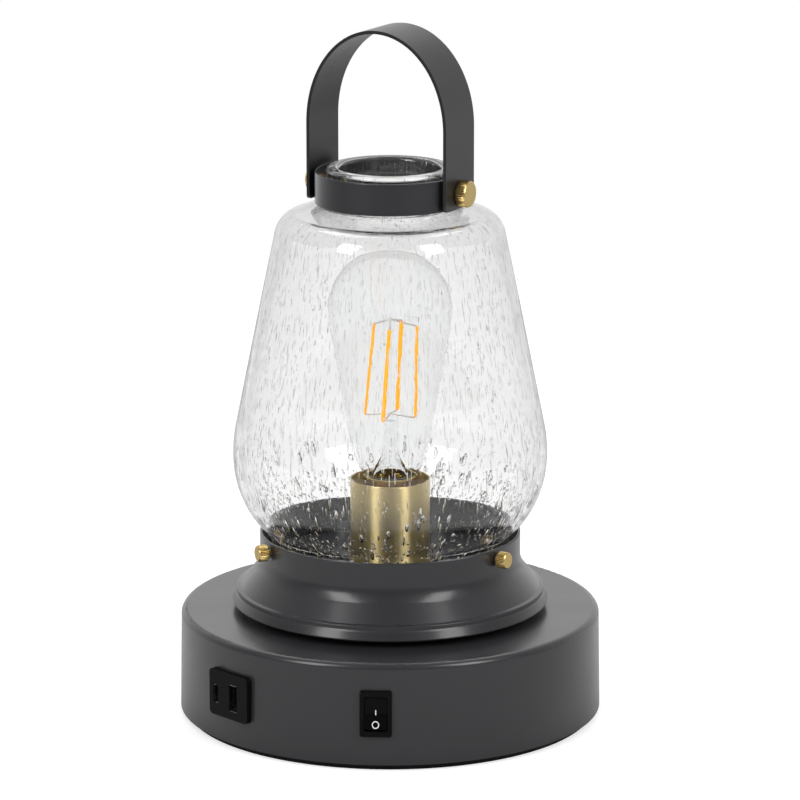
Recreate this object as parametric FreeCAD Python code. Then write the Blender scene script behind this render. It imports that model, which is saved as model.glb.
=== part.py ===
import FreeCAD, Part
import math
import os

# Lantern table lamp: a drum base with a rocker switch and a charging module, a spun gallery,
# a seeded glass shade held by three thumb screws, and a strap handle on a neck collar.
# Millimetres. +Z is up, the origin is the centre of the pad's lower face, and the switch faces -Y.
# An azimuth is in degrees from the switch's side (-Y), positive towards +X.

V = FreeCAD.Vector
UP = V(0, 0, 1)
ORIGIN = V(0, 0, 0)

# ---- drum base ----------------------------------------------------------------------------------
DRUM_RADIUS = 101.6            # wall at its lower edge
DRUM_TOP = 51.6                # upper face above the table
WALL_DRAFT = 0.8               # the wall leans in by this much over its height
SHEET = 1.2                    # drawn steel
DRUM_EDGE_RADIUS = 3.0         # bend between the wall and the top
PAD_INSET = 3.4                # pad's edge inside the wall's lower edge
PAD_RADIUS = DRUM_RADIUS - PAD_INSET
PAD_THICKNESS = 3.0
COVER_THICKNESS = 1.2
COVER_CLEARANCE = 0.4          # cover's edge to the drum wall

# ---- cover fixing -------------------------------------------------------------------------------
TAB_COUNT = 3
TAB_AZIMUTH = 40.0
TAB_WIDTH = 16.0
TAB_DEPTH = 14.0
TAB_HEIGHT = 14.0
TAB_WALL_REACH = 1.4           # room for the wall's draft and curve
TAB_SHEET = 1.6
COVER_SCREW_RADIUS = 2.0
COVER_SCREW_LENGTH = 6.0
COVER_SCREW_HEAD_RADIUS = 3.5
COVER_SCREW_HEAD = 2.2
COVER_SCREW_SLOT = 1.0         # width and depth
COVER_SCREW_RECESS = 4.6       # radius of the pad's holes over the screw heads
SCREW_CLEARANCE = 0.25         # radial, shank in a plain hole
THREAD_GAP = 0.03              # radial, thread stand-in in its tapped hole

# ---- ballast ------------------------------------------------------------------------------------
BALLAST_RADIUS = 58.0
BALLAST_BORE = 14.0
BALLAST_HEIGHT = 12.0
BALLAST_ROUND = 1.5
STUD_COUNT = 3
STUD_AZIMUTH = 60.0
STUD_CIRCLE = 38.0
STUD_RADIUS = 2.5
STUD_PROUD = 6.0               # stud above the ballast
STUD_NUT_FLATS = 8.0
STUD_NUT_HEIGHT = 4.0

# ---- lamp pipe and its stack --------------------------------------------------------------------
PIPE_RADIUS = 4.9
PIPE_WALL = 1.4
PIPE_BORE = PIPE_RADIUS - PIPE_WALL
PIPE_BELOW_TOP = 10.0          # pipe below the drum's upper sheet
PIPE_CLEARANCE = 0.3           # pipe in the sheets it passes
PIPE_NUT_WALL = 3.1            # at the flats
PIPE_NUT_FLATS = 2 * (PIPE_RADIUS + PIPE_NUT_WALL)
PIPE_NUT_HEIGHT = 4.0
PIPE_ABOVE_NUT = 2.0
WASHER_RADIUS = 11.0
WASHER_THICKNESS = 1.2

# ---- gallery ------------------------------------------------------------------------------------
GALLERY_RIM_RADIUS = 62.7
GALLERY_RIM_HEIGHT = 37.6      # rim above the drum's top
GALLERY_WALL_DROP = 11.4       # straight wall below the rim
GALLERY_FLARE_RADIUS = 12.0
FLANGE_REACH = 13.3            # flange's edge outside the rim
GALLERY_FLANGE_RADIUS = GALLERY_RIM_RADIUS + FLANGE_REACH
GALLERY_FLANGE_GAP = 3.2       # flange's lower edge above the drum
FLANGE_LIP_HEIGHT = 4.2
FLANGE_LIP_INSET = 1.5
FLANGE_CHAMFER = 0.6
SPUN_ROUND = 0.5                # formed corners of the sheet
BEAD_PROUD = 0.4               # bead outside the groove's bottom
BEAD_ROUND = 0.3
STEP_ROUND = 0.2
RIM_ROUND = 0.4
BEND_INSIDE = 0.3              # inner radius of a pressed bend
GROOVE_DEPTH = 0.9
GROOVE_HEIGHT = 0.8
BEAD_HEIGHT = 2.4
BEAD_STEP = 1.5
FLOOR_DROP = 17.0              # floor's upper face below the rim
FLOOR_EDGE_HEIGHT = 4.0
FLOOR_CLEARANCE = 0.02
FOOT_INSET = 1.5               # foot inside the gallery's straight wall
FOOT_RADIUS = GALLERY_RIM_RADIUS - SHEET - FOOT_INSET
FOOT_FLANGE = 10.0

# ---- glass shade --------------------------------------------------------------------------------
GLASS_WALL = 3.2
SKIRT_CLEARANCE = 1.7          # glass in the gallery, radial
GLASS_SKIRT_RADIUS = GALLERY_RIM_RADIUS - SHEET - SKIRT_CLEARANCE
GLASS_SHOULDER_BEND = 13.0
GLASS_BELLY_RADIUS = 75.3
GLASS_HEIGHT = 194.5           # from the gallery floor to the mouth
GLASS_WAIST_BEND = 70.0
GLASS_NECK_RADIUS = 30.5
GLASS_NECK_WALL = 6.6
GLASS_NECK_HEIGHT = 18.3
GLASS_NECK_FILLET = 3.0
GLASS_MOUTH_ROUND = 2.2
SHOULDER_RADIUS = 53.25        # corner between the cone and the shoulder
SHOULDER_SLOPE = 13.0          # degrees
CONE_SLOPE = 11.5              # degrees from upright
SKIRT_RISE = 0.66              # top of the straight skirt above the rim
BOWL_DROP = 22.09              # belly's widest height to the corner of the bowl
SKIRT_FILLET = 3.0

# ---- gallery thumb screws -----------------------------------------------------------------------
GALLERY_SCREW_COUNT = 3
GALLERY_SCREW_AZIMUTH = 57.5
GALLERY_SCREW_DROP = 4.8       # screw axis below the rim
GALLERY_SCREW_RADIUS = 2.0
GALLERY_HEAD_RADIUS = 4.0
GALLERY_HEAD_LENGTH = 5.2
GALLERY_HEAD_GAP = 1.3
GALLERY_KNURLS = 28
TIP_GAP = 0.2                  # screw tip to the glass

# ---- collar, handle and their screws ------------------------------------------------------------
COLLAR_SHEET = 1.0
COLLAR_GAP = 4.2               # band to the glass neck
COLLAR_RADIUS = GLASS_NECK_RADIUS + COLLAR_GAP + COLLAR_SHEET
COLLAR_HEIGHT = 15.2
COLLAR_BELOW_MOUTH = 2.1
COLLAR_EDGE_OUT = 0.4
COLLAR_EDGE_IN = 0.2
STRAP_THICKNESS = 1.6
STRAP_WIDTH = 28.0
STRAP_GAP = 0.15               # strap to collar
STRAP_RISE = 37.1              # straight leg above its lower end
ARCH_RISE = 46.0               # top of the arch above the straight legs
STRAP_LIFT = 0.5               # leg's lower end above the collar's lower edge
STRAP_CORNER = 2.0
HANDLE_AZIMUTH = 65.0
HANDLE_SCREW_RISE = 7.7        # screw axis above the collar's lower edge
HANDLE_SCREW_RADIUS = 2.5
HANDLE_HEAD_RADIUS = 6.35
HANDLE_HEAD_LENGTH = 5.4
HANDLE_HEAD_GAP = 0.15
HANDLE_KNURLS = 36
HANDLE_HOLE_REACH = 20.0       # drilled from the glass neck outwards
KNURL_DEPTH = 0.35
HEAD_CHAMFER = 0.6

# ---- bulb ---------------------------------------------------------------------------------------
CAP_RADIUS = 13.1
CAP_SHEET = 0.5
CAP_THREAD_PITCH = 3.63
CAP_THREAD_TURNS = 5
CAP_THREAD_DEPTH = 0.8
CAP_SKIRT = 5.0
CAP_CONTACT_GAP = 0.2          # bulb tip above the spring contact
CAP_INSULATOR_HEIGHT = 4.5
CAP_TIP_RADIUS = 4.8
CAP_TIP_HEIGHT = 1.4
BULB_RADIUS = 29.5
BULB_LENGTH = 110.0            # glass above the cap
BULB_WALL = 0.8
NECK_STEP = 0.7                # glass inside the cap's edge
BULB_NECK_RADIUS = CAP_RADIUS - NECK_STEP
THROAT_STEP = 4.4              # throat outside the cap
BULB_THROAT_RADIUS = CAP_RADIUS + THROAT_STEP
BULB_THROAT_HEIGHT = 8.0
BULB_WIDEST_DROP = 33.0
BULB_DOME_BEND = 28.0
BULB_SIDE_BEND = 60.0
BULB_THROAT_BEND = 30.0
BULB_SLEEVE = 3.0              # glass inside the cap
STEM_RADIUS = 3.6
SLEEVE_GAP = 0.05              # glass in the cap, radial
SLEEVE_RADIUS = CAP_RADIUS - CAP_THREAD_DEPTH - CAP_SHEET - SLEEVE_GAP
FLARE_GAP = 0.45               # stem's flare in the sleeve
STEM_FLARE_RADIUS = SLEEVE_RADIUS - BULB_WALL - FLARE_GAP
STEM_HEIGHT = 30.0
STEM_FLARE_HEIGHT = 14.0
STEM_WALL = 1.0
STEM_WAIST_BEND = 12.0
STEM_BORE_BEND = 10.0
STEM_BORE_STEP = 2.0           # bore's waist below the outside's
STEM_CROWN = 3.0               # solid glass at the stem's top
STEM_CROWN_ROUND = 1.5
STEM_RIM = 1.0                 # edge of the flare
STEM_ROD_RADIUS = 0.9          # glass rod between the two spiders of wire
FILAMENT_COUNT = 4
FILAMENT_AZIMUTH = 78.0
FILAMENT_WIDTH = 1.6
FILAMENT_THICKNESS = 1.0
FILAMENT_LOW = 29.5            # above the cap
FILAMENT_HIGH = 73.5
FILAMENT_LOW_RADIUS = 12.4
FILAMENT_LEAN = 2.6            # upper ends stand this far to the right
FILAMENT_HIGH_RADIUS = 10.6
WIRE_RADIUS = 0.35
WIRE_RISE = 3.0                # hub of the upper wires above the filaments

# ---- lamp holder --------------------------------------------------------------------------------
CUP_HEIGHT = 42.4
CUP_LIP_ROUND = 0.35
CUP_CORNER = 0.5
CUP_FLOOR = 1.0
HOLDER_HEIGHT = 29.0
HOLDER_BASE = 7.0
SHELL_SHEET = 0.4
SHELL_CLEARANCE = 0.3          # cap in the shell, radial
SHELL_RADIUS = CAP_RADIUS + SHELL_CLEARANCE + SHELL_SHEET
HOLDER_WALL = 3.2
HOLDER_BORE = SHELL_RADIUS + 0.2
HOLDER_RADIUS = HOLDER_BORE + HOLDER_WALL
CUP_SHEET = 0.8
CUP_GAP = 1.1                  # holder in the cup, radial
CUP_RADIUS = HOLDER_RADIUS + CUP_GAP + CUP_SHEET
SHELL_HEIGHT = 19.0
SHELL_FLANGE_BORE = 8.0
CONTACT_WIDTH = 5.0
CONTACT_LENGTH = 14.0
CONTACT_SHEET = 0.6
CONTACT_RISE = 2.2

# ---- rocker switch ------------------------------------------------------------------------------
SWITCH_HEIGHT = 28.1           # centre above the table
BEZEL_PROUD = 1.6
BEHIND_WALL = 4.0              # faces run on in and are cut to the wall's curve
BEZEL_CORNER = 1.2
SWITCH_BODY_DEPTH = 16.0
CUTOUT_CLEARANCE = 0.15
WELL_DEPTH = 9.0
WELL_CORNER = 0.6
ROCKER_WIDTH = 10.4
ROCKER_SWEEP = 8.0             # rocker's ends, about its axis
WELL_CLEARANCE = 0.25          # rocker in its well, all round
WELL_SIDE_WALL = 0.95
WELL_END_WALL = 1.35
BEZEL_SIDE_LIP = 1.1
BEZEL_END_LIP = 1.4
WELL_WIDTH = ROCKER_WIDTH + 2 * WELL_CLEARANCE
WELL_HEIGHT = 2 * (ROCKER_SWEEP + WELL_CLEARANCE)
SWITCH_BODY_WIDTH = WELL_WIDTH + 2 * WELL_SIDE_WALL
SWITCH_BODY_HEIGHT = WELL_HEIGHT + 2 * WELL_END_WALL
BEZEL_WIDTH = SWITCH_BODY_WIDTH + 2 * BEZEL_SIDE_LIP
BEZEL_HEIGHT = SWITCH_BODY_HEIGHT + 2 * BEZEL_END_LIP
ROCKER_AXIS_DEPTH = 2.5        # below the bezel's face
ROCKER_END_LIFT = 3.1
ROCKER_MIDDLE_LIFT = 1.9
ROCKER_BACK = 3.6
ROCKER_TILT = 9.0              # degrees each way from the middle
ROCKER_PIN_RADIUS = 1.2
ROCKER_PIN_GAP = 0.05
ROCKER_PIN_REACH = 0.8
TERMINAL_WIDTH = 4.8
TERMINAL_SHEET = 0.8
TERMINAL_LENGTH = 8.0
TERMINAL_ROOT = 2.0
TERMINAL_SPACING = 9.6

# ---- charging module ----------------------------------------------------------------------------
MODULE_AZIMUTH = -43.8
MODULE_HEIGHT = 26.8
PLATE_PROUD = 2.0
PLATE_CORNER = 2.2
MODULE_BODY_WIDTH = 23.5
MODULE_BODY_HEIGHT = 18.5
PLATE_SIDE_LIP = 1.75
PLATE_END_LIP = 1.95
PLATE_WIDTH = MODULE_BODY_WIDTH + 2 * PLATE_SIDE_LIP
PLATE_HEIGHT = MODULE_BODY_HEIGHT + 2 * PLATE_END_LIP
MODULE_DEPTH = 30.0
MODULE_WALL = 1.2
MODULE_COVER = 1.5
PORT_A_OFFSET = 3.3            # along the plate, from its middle
PORT_A_WIDTH = 5.7
PORT_A_HEIGHT = 13.1
PORT_A_DEPTH = 14.0
PORT_C_OFFSET = -9.0
PORT_C_WIDTH = 3.3
PORT_C_HEIGHT = 9.1
PORT_C_DEPTH = 10.0
PORT_DROP = 0.8                # ports below the plate's middle
PORT_SHEET = 0.3
PORT_RECESS = 0.4
TONGUE_A = (1.9, 11.1, 9.0)    # thickness, width, length
TONGUE_C = (0.7, 6.7, 5.5)
TONGUE_BACK = 1.5
BOARD_THICKNESS = 1.6
BOARD_MARGIN = 0.4

# ---- cord inlet ---------------------------------------------------------------------------------
INLET_AZIMUTH = 180.0
INLET_HEIGHT = 16.0
INLET_HOLE_RADIUS = 5.0
INLET_BORE_RADIUS = 3.2
INLET_FLANGE_RADIUS = 7.0
INLET_FLANGE = 1.4
INLET_INNER_REACH = 4.0

# ---- leads --------------------------------------------------------------------------------------
LEAD_RADIUS = 1.0
LEAD_SPACE = 0.6               # between the two leads
LEAD_OFFSET = LEAD_RADIUS + LEAD_SPACE / 2
LEAD_HOLE_RADIUS = LEAD_OFFSET + LEAD_RADIUS + LEAD_SPACE
LEAD_BEND = 10.0
LEAD_BACK_REACH = 52.0
CRIMP_RADIUS = 3.2
CRIMP_LENGTH = 12.0


# ==== helpers ====================================================================================
def polar(radius, azimuth, z):
    """Point at a radius and azimuth from the lamp's axis."""
    a = math.radians(azimuth)
    return V(radius * math.sin(a), -radius * math.cos(a), z)


def turned(shape, azimuth):
    """Copy of a shape drawn facing -Y, turned to an azimuth."""
    copy = shape.copy()
    copy.rotate(ORIGIN, UP, azimuth)
    return copy


def outline(corners):
    """Closed wire in the XZ plane through (r, z) or (r, z, fillet) corners."""
    points = [V(c[0], 0, c[1]) for c in corners]
    fillets = [c[2] if len(c) > 2 else 0.0 for c in corners]
    starts, ends, middles = [], [], []
    for i, point in enumerate(points):
        back = (points[i - 1] - point).normalize()
        ahead = (points[(i + 1) % len(points)] - point).normalize()
        half = back.getAngle(ahead) / 2
        reach = fillets[i] / math.tan(half) if fillets[i] else 0.0
        starts.append(point + back * reach)
        ends.append(point + ahead * reach)
        bisector = (back + ahead).normalize() if fillets[i] else V(0, 0, 0)
        middles.append(point + bisector * (fillets[i] / math.sin(half) - fillets[i] if fillets[i] else 0))
    edges = []
    for i, point in enumerate(points):
        if fillets[i]:
            edges.append(Part.Arc(starts[i], middles[i], ends[i]).toShape())
        following = starts[(i + 1) % len(points)]
        if ends[i].distanceToPoint(following) > 1e-6:
            edges.append(Part.LineSegment(ends[i], following).toShape())
    return Part.Wire(edges)


def revolved(corners):
    """Solid of revolution about the lamp's axis."""
    return Part.Face(outline(corners)).revolve(ORIGIN, UP, 360)


def ring(outer, inner, low, high):
    """Plain ring or, with no bore, a disc."""
    body = Part.makeCylinder(outer, high - low, V(0, 0, low))
    if inner > 0:
        body = body.cut(Part.makeCylinder(inner, high - low, V(0, 0, low)))
    return body


def hex_nut(flats, bore, height, place):
    """Hexagon nut with its lower face at a place."""
    across = flats / math.sqrt(3)
    corners = [V(across * math.cos(math.radians(60 * i)), across * math.sin(math.radians(60 * i)), 0)
               for i in range(6)]
    body = Part.Face(Part.makePolygon(corners + corners[:1])).extrude(V(0, 0, height))
    body = body.cut(Part.makeCylinder(bore, height))
    body.translate(place)
    return body


def rounded_block(width, height, depth, corner, front, centre_z, offset=0.0):
    """Block with rounded upright corners seen from -Y, its front at y = -front, going in by depth."""
    block = Part.makeBox(width, depth, height, V(offset - width / 2, -front, centre_z - height / 2))
    if corner <= 0:
        return block
    along_y = [e for e in block.Edges if abs(e.tangentAt(e.FirstParameter).y) > 0.99]
    return block.makeFillet(corner, along_y)


def knurled_screw(shank_radius, tip, wall, head_radius, head_length, knurls, gap):
    """Thumb screw along -Y: shank from tip to the head, whose inner face is a gap outside wall."""
    inner = wall + gap
    outer = inner + head_length
    points = []
    for i in range(2 * knurls):
        radius = head_radius if i % 2 == 0 else head_radius - KNURL_DEPTH
        angle = math.pi * i / knurls
        points.append(V(radius * math.cos(angle), -inner, radius * math.sin(angle)))
    barrel = Part.Face(Part.makePolygon(points + points[:1])).extrude(V(0, -head_length, 0))
    profile = [V(0, -inner, 0), V(head_radius - HEAD_CHAMFER, -inner, 0), V(head_radius, -inner - HEAD_CHAMFER, 0),
               V(head_radius, -outer + HEAD_CHAMFER, 0), V(head_radius - HEAD_CHAMFER, -outer, 0), V(0, -outer, 0)]
    envelope = Part.Face(Part.makePolygon(profile + profile[:1])).revolve(ORIGIN, V(0, 1, 0), 360)
    shank = Part.makeCylinder(shank_radius, inner - tip, V(0, -inner, 0), V(0, 1, 0))
    return barrel.common(envelope).fuse(shank).removeSplitter()


def inset(corners, wall):
    """Outline corners moved in by a wall, for a wall of even thickness."""
    moved = []
    for i in range(1, len(corners) - 1):
        back = V(corners[i][0] - corners[i - 1][0], corners[i][1] - corners[i - 1][1], 0).normalize()
        ahead = V(corners[i + 1][0] - corners[i][0], corners[i + 1][1] - corners[i][1], 0).normalize()
        normal_back = V(-back.y, back.x, 0)
        normal_ahead = V(-ahead.y, ahead.x, 0)
        middle = (normal_back + normal_ahead).normalize()
        step = wall / middle.dot(normal_back)
        turn = back.x * ahead.y - back.y * ahead.x
        bend = corners[i][2] - wall if turn > 0 else corners[i][2] + wall
        moved.append((corners[i][0] + middle.x * step, corners[i][1] + middle.y * step, bend))
    return moved


# ==== heights and radii that follow from the sizes above =========================================
COVER_TOP = PAD_THICKNESS + COVER_THICKNESS
BALLAST_TOP = COVER_TOP + BALLAST_HEIGHT
DRUM_UNDER_TOP = DRUM_TOP - SHEET
RIM_Z = DRUM_TOP + GALLERY_RIM_HEIGHT
FLOOR_Z = RIM_Z - FLOOR_DROP
MOUTH_Z = FLOOR_Z + GLASS_HEIGHT
NECK_Z = MOUTH_Z - GLASS_NECK_HEIGHT
COLLAR_TOP = MOUTH_Z - COLLAR_BELOW_MOUTH
COLLAR_LOW = COLLAR_TOP - COLLAR_HEIGHT
HANDLE_PIVOT_Z = COLLAR_LOW + HANDLE_SCREW_RISE
CUP_TOP = FLOOR_Z + CUP_HEIGHT
CUP_NUT_Z = FLOOR_Z + CUP_FLOOR
HOLDER_Z = CUP_NUT_Z + PIPE_NUT_HEIGHT
HOLDER_FLOOR_Z = HOLDER_Z + HOLDER_BASE
PIPE_LOW = DRUM_UNDER_TOP - PIPE_BELOW_TOP
PIPE_TOP = HOLDER_Z + PIPE_ABOVE_NUT
BULB_TIP_Z = HOLDER_FLOOR_Z + SHELL_SHEET + CONTACT_RISE + CAP_CONTACT_GAP
CAP_LOW = BULB_TIP_Z + CAP_TIP_HEIGHT + CAP_INSULATOR_HEIGHT
CAP_TOP = CAP_LOW + CAP_THREAD_TURNS * CAP_THREAD_PITCH + CAP_SKIRT


def wall_radius(z):
    """Outside radius of the drum wall at a height."""
    return DRUM_RADIUS - WALL_DRAFT * (z - PAD_THICKNESS) / (DRUM_TOP - PAD_THICKNESS)


def drum_core(wall):
    """Solid that fills the drum, moved in by a wall."""
    top = DRUM_TOP - wall
    return revolved([(0, PAD_THICKNESS), (DRUM_RADIUS - wall, PAD_THICKNESS),
                     (wall_radius(DRUM_TOP) - wall, top, DRUM_EDGE_RADIUS - wall), (0, top)])


# ==== drum base ==================================================================================
def inlet_cylinder(radius, outer, inner):
    """Cylinder on the cord inlet's axis between two distances from the lamp's axis."""
    return Part.makeCylinder(radius, outer - inner, polar(inner, INLET_AZIMUTH, INLET_HEIGHT),
                             polar(1, INLET_AZIMUTH, 0))


def switch_cutout(clearance):
    """Block through the wall for the switch body."""
    return rounded_block(SWITCH_BODY_WIDTH + 2 * clearance, SWITCH_BODY_HEIGHT + 2 * clearance,
                         SWITCH_BODY_DEPTH, 0, wall_radius(SWITCH_HEIGHT) + BEZEL_PROUD, SWITCH_HEIGHT)


def module_cutout(clearance):
    """Block through the wall for the charging module's body."""
    return rounded_block(MODULE_BODY_WIDTH + 2 * clearance, MODULE_BODY_HEIGHT + 2 * clearance,
                         MODULE_DEPTH, 0, wall_radius(MODULE_HEIGHT) + PLATE_PROUD, MODULE_HEIGHT)


def base_drum():
    drum = drum_core(0).cut(drum_core(SHEET))
    drum = drum.cut(ring(PIPE_RADIUS + PIPE_CLEARANCE, 0, DRUM_UNDER_TOP - 1, DRUM_TOP + 1))
    drum = drum.cut(switch_cutout(CUTOUT_CLEARANCE))
    drum = drum.cut(turned(module_cutout(CUTOUT_CLEARANCE), MODULE_AZIMUTH))
    return drum.cut(inlet_cylinder(INLET_HOLE_RADIUS, DRUM_RADIUS + 1, DRUM_RADIUS - 10))


def cover_screw_place(i):
    """Axis of a cover screw, on the cover's upper face."""
    radius = DRUM_RADIUS - SHEET - TAB_DEPTH / 2
    return polar(radius, TAB_AZIMUTH + 360 * i / TAB_COUNT, COVER_TOP)


def cover_tabs():
    """Angle tabs welded inside the wall, each tapped for a cover screw."""
    tabs = []
    outer = DRUM_RADIUS
    for i in range(TAB_COUNT):
        foot = Part.makeBox(TAB_WIDTH, TAB_DEPTH + SHEET, TAB_SHEET,
                            V(-TAB_WIDTH / 2, -outer, COVER_TOP))
        upright = Part.makeBox(TAB_WIDTH, SHEET + TAB_SHEET + TAB_WALL_REACH, TAB_HEIGHT,
                               V(-TAB_WIDTH / 2, -outer, COVER_TOP))
        tab = turned(foot.fuse(upright), TAB_AZIMUTH + 360 * i / TAB_COUNT).common(drum_core(SHEET))
        hole = Part.makeCylinder(COVER_SCREW_RADIUS + THREAD_GAP, TAB_SHEET, cover_screw_place(i))
        tabs.append(tab.cut(hole).removeSplitter())
    return Part.makeCompound(tabs)


def cover_screws():
    screws = []
    for i in range(TAB_COUNT):
        under = cover_screw_place(i) - V(0, 0, COVER_THICKNESS)
        head = Part.makeCylinder(COVER_SCREW_HEAD_RADIUS, COVER_SCREW_HEAD, under - V(0, 0, COVER_SCREW_HEAD))
        slot = Part.makeBox(2 * COVER_SCREW_HEAD_RADIUS, COVER_SCREW_SLOT, COVER_SCREW_SLOT,
                            under - V(COVER_SCREW_HEAD_RADIUS, COVER_SCREW_SLOT / 2, COVER_SCREW_HEAD))
        shank = Part.makeCylinder(COVER_SCREW_RADIUS, COVER_SCREW_LENGTH, under)
        screws.append(head.cut(slot).fuse(shank).removeSplitter())
    return Part.makeCompound(screws)


def stud_place(i, z):
    return polar(STUD_CIRCLE, STUD_AZIMUTH + 360 * i / STUD_COUNT, z)


def bottom_cover():
    """Steel cover with the three ballast studs welded to it."""
    cover = ring(DRUM_RADIUS - SHEET - COVER_CLEARANCE, 0, PAD_THICKNESS, COVER_TOP)
    for i in range(STUD_COUNT):
        stud = Part.makeCylinder(STUD_RADIUS, BALLAST_HEIGHT + STUD_PROUD, stud_place(i, COVER_TOP))
        cover = cover.fuse(stud)
    for i in range(TAB_COUNT):
        place = cover_screw_place(i) - V(0, 0, COVER_THICKNESS)
        cover = cover.cut(Part.makeCylinder(COVER_SCREW_RADIUS + SCREW_CLEARANCE, COVER_THICKNESS, place))
    return cover.removeSplitter()


def base_pad():
    pad = ring(PAD_RADIUS, 0, 0, PAD_THICKNESS)
    for i in range(TAB_COUNT):
        place = cover_screw_place(i)
        pad = pad.cut(Part.makeCylinder(COVER_SCREW_RECESS, PAD_THICKNESS, V(place.x, place.y, 0)))
    return pad


def ballast_weight():
    """Cast ring on the cover, with its upper and lower outer edges rounded."""
    weight = revolved([(BALLAST_BORE, COVER_TOP), (BALLAST_RADIUS, COVER_TOP, BALLAST_ROUND),
                       (BALLAST_RADIUS, BALLAST_TOP, BALLAST_ROUND), (BALLAST_BORE, BALLAST_TOP)])
    for i in range(STUD_COUNT):
        place = stud_place(i, COVER_TOP)
        weight = weight.cut(Part.makeCylinder(STUD_RADIUS + SCREW_CLEARANCE, BALLAST_HEIGHT, place))
    return weight


def ballast_nuts():
    nuts = [hex_nut(STUD_NUT_FLATS, STUD_RADIUS + THREAD_GAP, STUD_NUT_HEIGHT, stud_place(i, BALLAST_TOP))
            for i in range(STUD_COUNT)]
    return Part.makeCompound(nuts)


# ==== lamp pipe ==================================================================================
def lamp_pipe():
    return ring(PIPE_RADIUS, PIPE_BORE, PIPE_LOW, PIPE_TOP)


def pipe_nuts():
    bore = PIPE_RADIUS + THREAD_GAP
    lower_z = DRUM_UNDER_TOP - WASHER_THICKNESS - PIPE_NUT_HEIGHT
    lower = hex_nut(PIPE_NUT_FLATS, bore, PIPE_NUT_HEIGHT, V(0, 0, lower_z))
    upper = hex_nut(PIPE_NUT_FLATS, bore, PIPE_NUT_HEIGHT, V(0, 0, CUP_NUT_Z))
    return Part.makeCompound([lower, upper])


def pipe_washer():
    low = DRUM_UNDER_TOP - WASHER_THICKNESS
    return ring(WASHER_RADIUS, PIPE_RADIUS + PIPE_CLEARANCE, low, DRUM_UNDER_TOP)


# ==== gallery ====================================================================================
def gallery_corners():
    """Outside of the gallery from the rim down to the flange's lower edge."""
    flange_z = DRUM_TOP + GALLERY_FLANGE_GAP
    lip_z = flange_z + FLANGE_LIP_HEIGHT
    lip_radius = GALLERY_FLANGE_RADIUS - FLANGE_LIP_INSET
    bead_z = lip_z + GROOVE_HEIGHT
    bead_radius = lip_radius - GROOVE_DEPTH
    step_z = bead_z + BEAD_HEIGHT
    step_radius = bead_radius - BEAD_STEP
    return [(GALLERY_RIM_RADIUS, RIM_Z, RIM_ROUND),
            (GALLERY_RIM_RADIUS, RIM_Z - GALLERY_WALL_DROP - GALLERY_FLARE_RADIUS / 3, GALLERY_FLARE_RADIUS),
            (step_radius, step_z, STEP_ROUND),
            (bead_radius + BEAD_PROUD, step_z - BEAD_PROUD, SPUN_ROUND),
            (bead_radius + BEAD_PROUD, bead_z, BEAD_ROUND),
            (lip_radius, lip_z, SPUN_ROUND),
            (GALLERY_FLANGE_RADIUS, flange_z + FLANGE_CHAMFER, SPUN_ROUND),
            (GALLERY_FLANGE_RADIUS - SPUN_ROUND, flange_z)]


def gallery_screw_azimuth(i):
    return GALLERY_SCREW_AZIMUTH + 360 * i / GALLERY_SCREW_COUNT


def gallery_screw_z():
    return RIM_Z - GALLERY_SCREW_DROP


def gallery():
    """Spun bell: straight wall, flare, bead, groove and flange."""
    outside = gallery_corners()
    inner_rim = GALLERY_RIM_RADIUS - SHEET
    flare_z = outside[1][1]
    lower_radius = GALLERY_FLANGE_RADIUS - 3 * SHEET
    inside = [(lower_radius, outside[-1][1]),
              (lower_radius - FLANGE_LIP_INSET, outside[5][1] - SHEET / 2, SPUN_ROUND),
              (outside[2][0] - SHEET, outside[2][1] - SHEET, SPUN_ROUND),
              (inner_rim, flare_z - SHEET / 2, GALLERY_FLARE_RADIUS + SHEET),
              (inner_rim, RIM_Z, RIM_ROUND)]
    bell = revolved(outside + inside)
    for i in range(GALLERY_SCREW_COUNT):
        place = polar(inner_rim - 1, gallery_screw_azimuth(i), gallery_screw_z())
        hole = Part.makeCylinder(GALLERY_SCREW_RADIUS + THREAD_GAP, SHEET + 3, place,
                                 polar(1, gallery_screw_azimuth(i), 0))
        bell = bell.cut(hole)
    return bell


def gallery_floor():
    """Dished floor that the glass stands on, pressed into the gallery."""
    radius = GALLERY_RIM_RADIUS - SHEET - FLOOR_CLEARANCE
    low = FLOOR_Z - SHEET
    bore = PIPE_RADIUS + PIPE_CLEARANCE
    top = FLOOR_Z + FLOOR_EDGE_HEIGHT
    return revolved([(bore, low), (radius, low, SHEET + BEND_INSIDE), (radius, top),
                     (radius - SHEET, top), (radius - SHEET, FLOOR_Z, BEND_INSIDE), (bore, FLOOR_Z)])


def gallery_foot():
    """Channel ring that carries the gallery floor on the drum."""
    low, high = DRUM_TOP, FLOOR_Z - SHEET
    inner = FOOT_RADIUS - FOOT_FLANGE
    return revolved([(inner, low), (FOOT_RADIUS, low, SHEET + SPUN_ROUND),
                     (FOOT_RADIUS, high, SHEET + SPUN_ROUND), (inner, high),
                     (inner, high - SHEET), (FOOT_RADIUS - SHEET, high - SHEET, SPUN_ROUND),
                     (FOOT_RADIUS - SHEET, low + SHEET, SPUN_ROUND), (inner, low + SHEET)])


def gallery_screw(i):
    screw = knurled_screw(GALLERY_SCREW_RADIUS, GLASS_SKIRT_RADIUS + TIP_GAP, GALLERY_RIM_RADIUS,
                          GALLERY_HEAD_RADIUS, GALLERY_HEAD_LENGTH, GALLERY_KNURLS, GALLERY_HEAD_GAP)
    screw.translate(V(0, 0, gallery_screw_z()))
    return turned(screw, gallery_screw_azimuth(i))


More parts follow.
